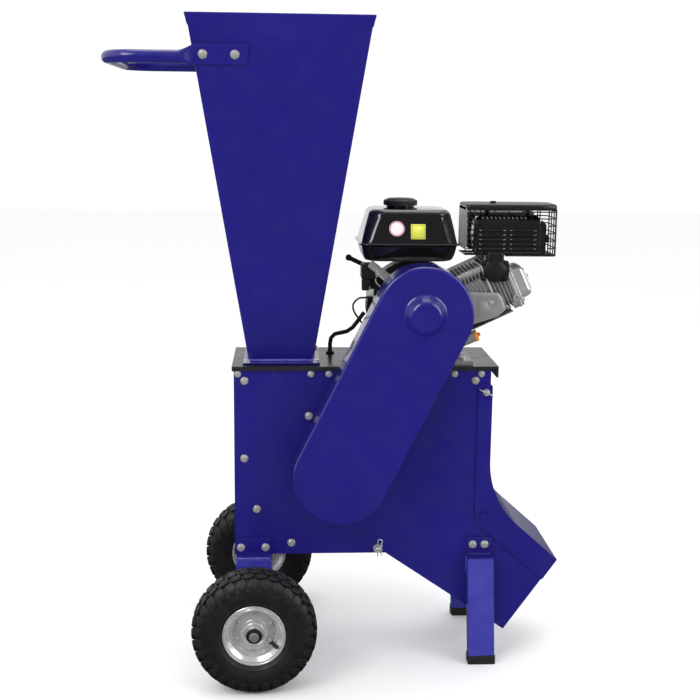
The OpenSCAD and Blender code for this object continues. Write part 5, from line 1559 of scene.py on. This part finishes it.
def build_recoil():
    """Fan housing and recoil cover on the far side, with a pressed louvre ring."""
    bm = bmesh.new()
    prof = fillet([(103, 66.2), (103, 71.5, 1.2), (96, 72.4, 2.0), (91, 78, 3), (89.4, 93.6, 4), (84, 97.8, 3), (81, 104.4, 2.5), (78, 106, 1.5), (76.4, 106, 0.5), (76.4, 103.4), (79.6, 96, 2), (86.4, 93, 2), (87.8, 74, 3), (94, 69.6, 2), (99, 66.2)], 4, closed=True)
    lathe(bm, prof, (EX, 0, EZ), (0, 1, 0), 120)
    # hub plate and spokes, with openings between them
    lathe(bm, fillet([(0, 103.4), (44, 103.4), (44, 106.4, 1.0), (38, 107, 1.5), (34, 111.4, 2.5), (0, 111.8)], 4), (EX, 0, EZ), (0, 1, 0), 80, closed=False)
    for k in range(18):
        a = TAU * k / 18
        m = Matrix.Translation((EX, 0, EZ)) @ Matrix.Rotation(a, 4, "Y")
        rbox(bm, 42, 79, 103.2, 106.2, -3.2, 3.2, 1.0, 2, m)
    lathe(bm, fillet([(60, 103.2), (63, 103.2), (63, 106.3, 0.8), (60, 106.3, 0.8)], 2, closed=True), (EX, 0, EZ), (0, 1, 0), 96)
    piece("recoil_cover_pressing", bm, "root", "black_sheet", repl=("recoil_cover",), even=True)
    bm = bmesh.new()
    for k in range(3):
        a = math.radians(30 + 120 * k)
        hex_head(bm, (EX + 97.2 * math.cos(a), 72.0, EZ + 97.2 * math.sin(a)), (0, 1, 0), 5.0, 4, 7, 1.0, turn=a)
    piece("recoil_cover_screws", bm, "root", "zinc_plate", even=True)
    bm = bmesh.new()
    # rope guide
    x0 = EX + 84
    lathe(bm, fillet([(3.5, 0), (9.5, 0), (9.5, 12, 2.5), (5.5, 16.5, 2), (3.5, 16.5, 0.6)], 4, closed=True), (x0, 83, EZ - 48), (1, 0, 0), 36)
    piece("recoil_rope_guide", bm, "root", "black_plastic", even=True)
    bm = bmesh.new()
    # rope with its braid, and the moulded grip
    path = [(EX - 38 + 3.2 * k, 83, EZ - 48) for k in range(46)]
    s = bmesh.new()
    rings = []
    for i, p in enumerate(path):
        ring = []
        for k in range(12):
            a = TAU * k / 12
            g = 2.3 + 0.22 * math.cos(2 * a + i * 1.1)
            ring.append((p[0], p[1] + g * math.cos(a), p[2] + g * math.sin(a)))
        rings.append(ring)
    loft(s, rings)
    into(bm, s)
    piece("starter_rope", bm, "starter", "black_plastic", mat=ROPE, repl=(), even=True)
    bm = bmesh.new()
    rings = []
    for k in range(17):
        t = k / 16
        y = 57.5 + 51 * t
        half = 8.4 + 1.5 * math.cos((t - 0.5) * TAU) * -1
        cap = math.sin(math.pi * min(1, max(0.04, t * 9, ) if t < 0.5 else min(1, (1 - t) * 9 + 0.04)) / 2) if t in (0, 1) else 1
        dx = 9.2 if 0 < t < 1 else 6.8
        dz = 8.4 if 0 < t < 1 else 6.2
        pinch = 1.0 - 0.10 * math.cos((t - 0.5) * 2 * TAU)
        ring = []
        for q in range(28):
            a = TAU * q / 28
            cc, ss = math.cos(a), math.sin(a)
            ring.append((EX + 114 + dx * pinch * math.copysign(abs(cc) ** 0.75, cc), y, EZ - 48 + dz * pinch * math.copysign(abs(ss) ** 0.75, ss)))
        rings.append(ring)
    loft(bm, rings)
    piece("starter_grip_moulding", bm, "starter", "black_plastic", repl=("starter_grip",), subsurf=1, even=False)


ROPE = surface("starter_rope", (0.16, 0.15, 0.14), 0.8, var=0.35, cscale=700, rscale=300, bumps=((900, 0.5, 0.0006),))
build_recoil()


# ------------------------------------------------------------------ floor and light
def stage():
    bm = bmesh.new()
    s = 14.0
    vs = [bm.verts.new((x, y, 0)) for x, y in ((-s, -s), (s, -s), (s, s), (-s, s))]
    bm.faces.new(vs)
    me = bpy.data.meshes.new("floor")
    bm.to_mesh(me)
    bm.free()
    o = bpy.data.objects.new("floor", me)
    scene.collection.objects.link(o)
    m, nt, b, tc = new_mat("floor")
    n = noise_tex(nt, tc, 0.6, 3.0)
    r = ramp(nt, n.outputs["Fac"], [(0.3, (0.955, 0.955, 0.957)), (0.7, (0.965, 0.965, 0.965))])
    nt.links.new(r.outputs["Color"], b.inputs["Base Color"])
    b.inputs["Roughness"].default_value = 0.6
    me.materials.append(m)
    o.visible_glossy = False
    w = bpy.data.worlds.new("studio")
    scene.world = w
    w.use_nodes = True
    nt = w.node_tree
    bg = nt.nodes["Background"]
    bg.inputs[1].default_value = 1.0
    tc = nt.nodes.new("ShaderNodeTexCoord")
    sep = nt.nodes.new("ShaderNodeSeparateXYZ")
    nt.links.new(tc.outputs["Generated"], sep.inputs[0])
    # what gloss sees: a dark floor side, a bright wall and ceiling
    r = ramp(nt, maprange(nt, sep.outputs["Z"], 0.0, 1.0, -1.0, 1.0).outputs[0],
             [(0.0, (0.06, 0.06, 0.06)), (0.41, (0.08, 0.08, 0.08)), (0.47, (0.80, 0.80, 0.82)), (0.75, (0.80, 0.80, 0.82)), (1.0, (0.60, 0.60, 0.62))])
    # the near side of the studio is dim, so dark gloss stays dark there
    dim = maprange(nt, sep.outputs["Y"], 0.16, 1.0, -0.80, -0.30)
    mul = nt.nodes.new("ShaderNodeMix")
    mul.data_type = "RGBA"
    mul.blend_type = "MULTIPLY"
    mul.inputs["Factor"].default_value = 1.0
    grey = nt.nodes.new("ShaderNodeCombineColor")
    for k in range(3):
        nt.links.new(dim.outputs[0], grey.inputs[k])
    nt.links.new(r.outputs["Color"], mul.inputs["A"])
    nt.links.new(grey.outputs["Color"], mul.inputs["B"])
    lp = nt.nodes.new("ShaderNodeLightPath")
    mix = nt.nodes.new("ShaderNodeMix")
    mix.data_type = "RGBA"
    nt.links.new(lp.outputs["Is Glossy Ray"], mix.inputs["Factor"])
    mix.inputs["A"].default_value = (1.06, 1.06, 1.06, 1)
    nt.links.new(mul.outputs["Result"], mix.inputs["B"])
    nt.links.new(mix.outputs["Result"], bg.inputs[0])

    def area(name, loc, target, size, power, col=(1, 1, 1)):
        ld = bpy.data.lights.new(name, "AREA")
        ld.shape = "RECTANGLE"
        ld.size, ld.size_y = size
        ld.energy = power
        ld.color = col
        lo = bpy.data.objects.new(name, ld)
        lo.location = loc
        d = Vector(target) - Vector(loc)
        lo.rotation_mode = "QUATERNION"
        lo.rotation_quaternion = d.to_track_quat("-Z", "Y")
        scene.collection.objects.link(lo)
        return lo

    area("key", (-1.9, -2.3, 2.6), (0, 0, 0.7), (1.6, 1.6), 40)
    area("fill", (2.4, -1.6, 1.9), (0, 0, 0.7), (1.2, 2.0), 22)
    area("top", (0.2, 0.6, 3.6), (0, 0, 0.7), (2.4, 2.4), 30)
    scene.view_settings.view_transform = "Standard"
    scene.view_settings.look = "None"
    scene.view_settings.exposure = 0.0
    scene.view_settings.gamma = 1.0


stage()
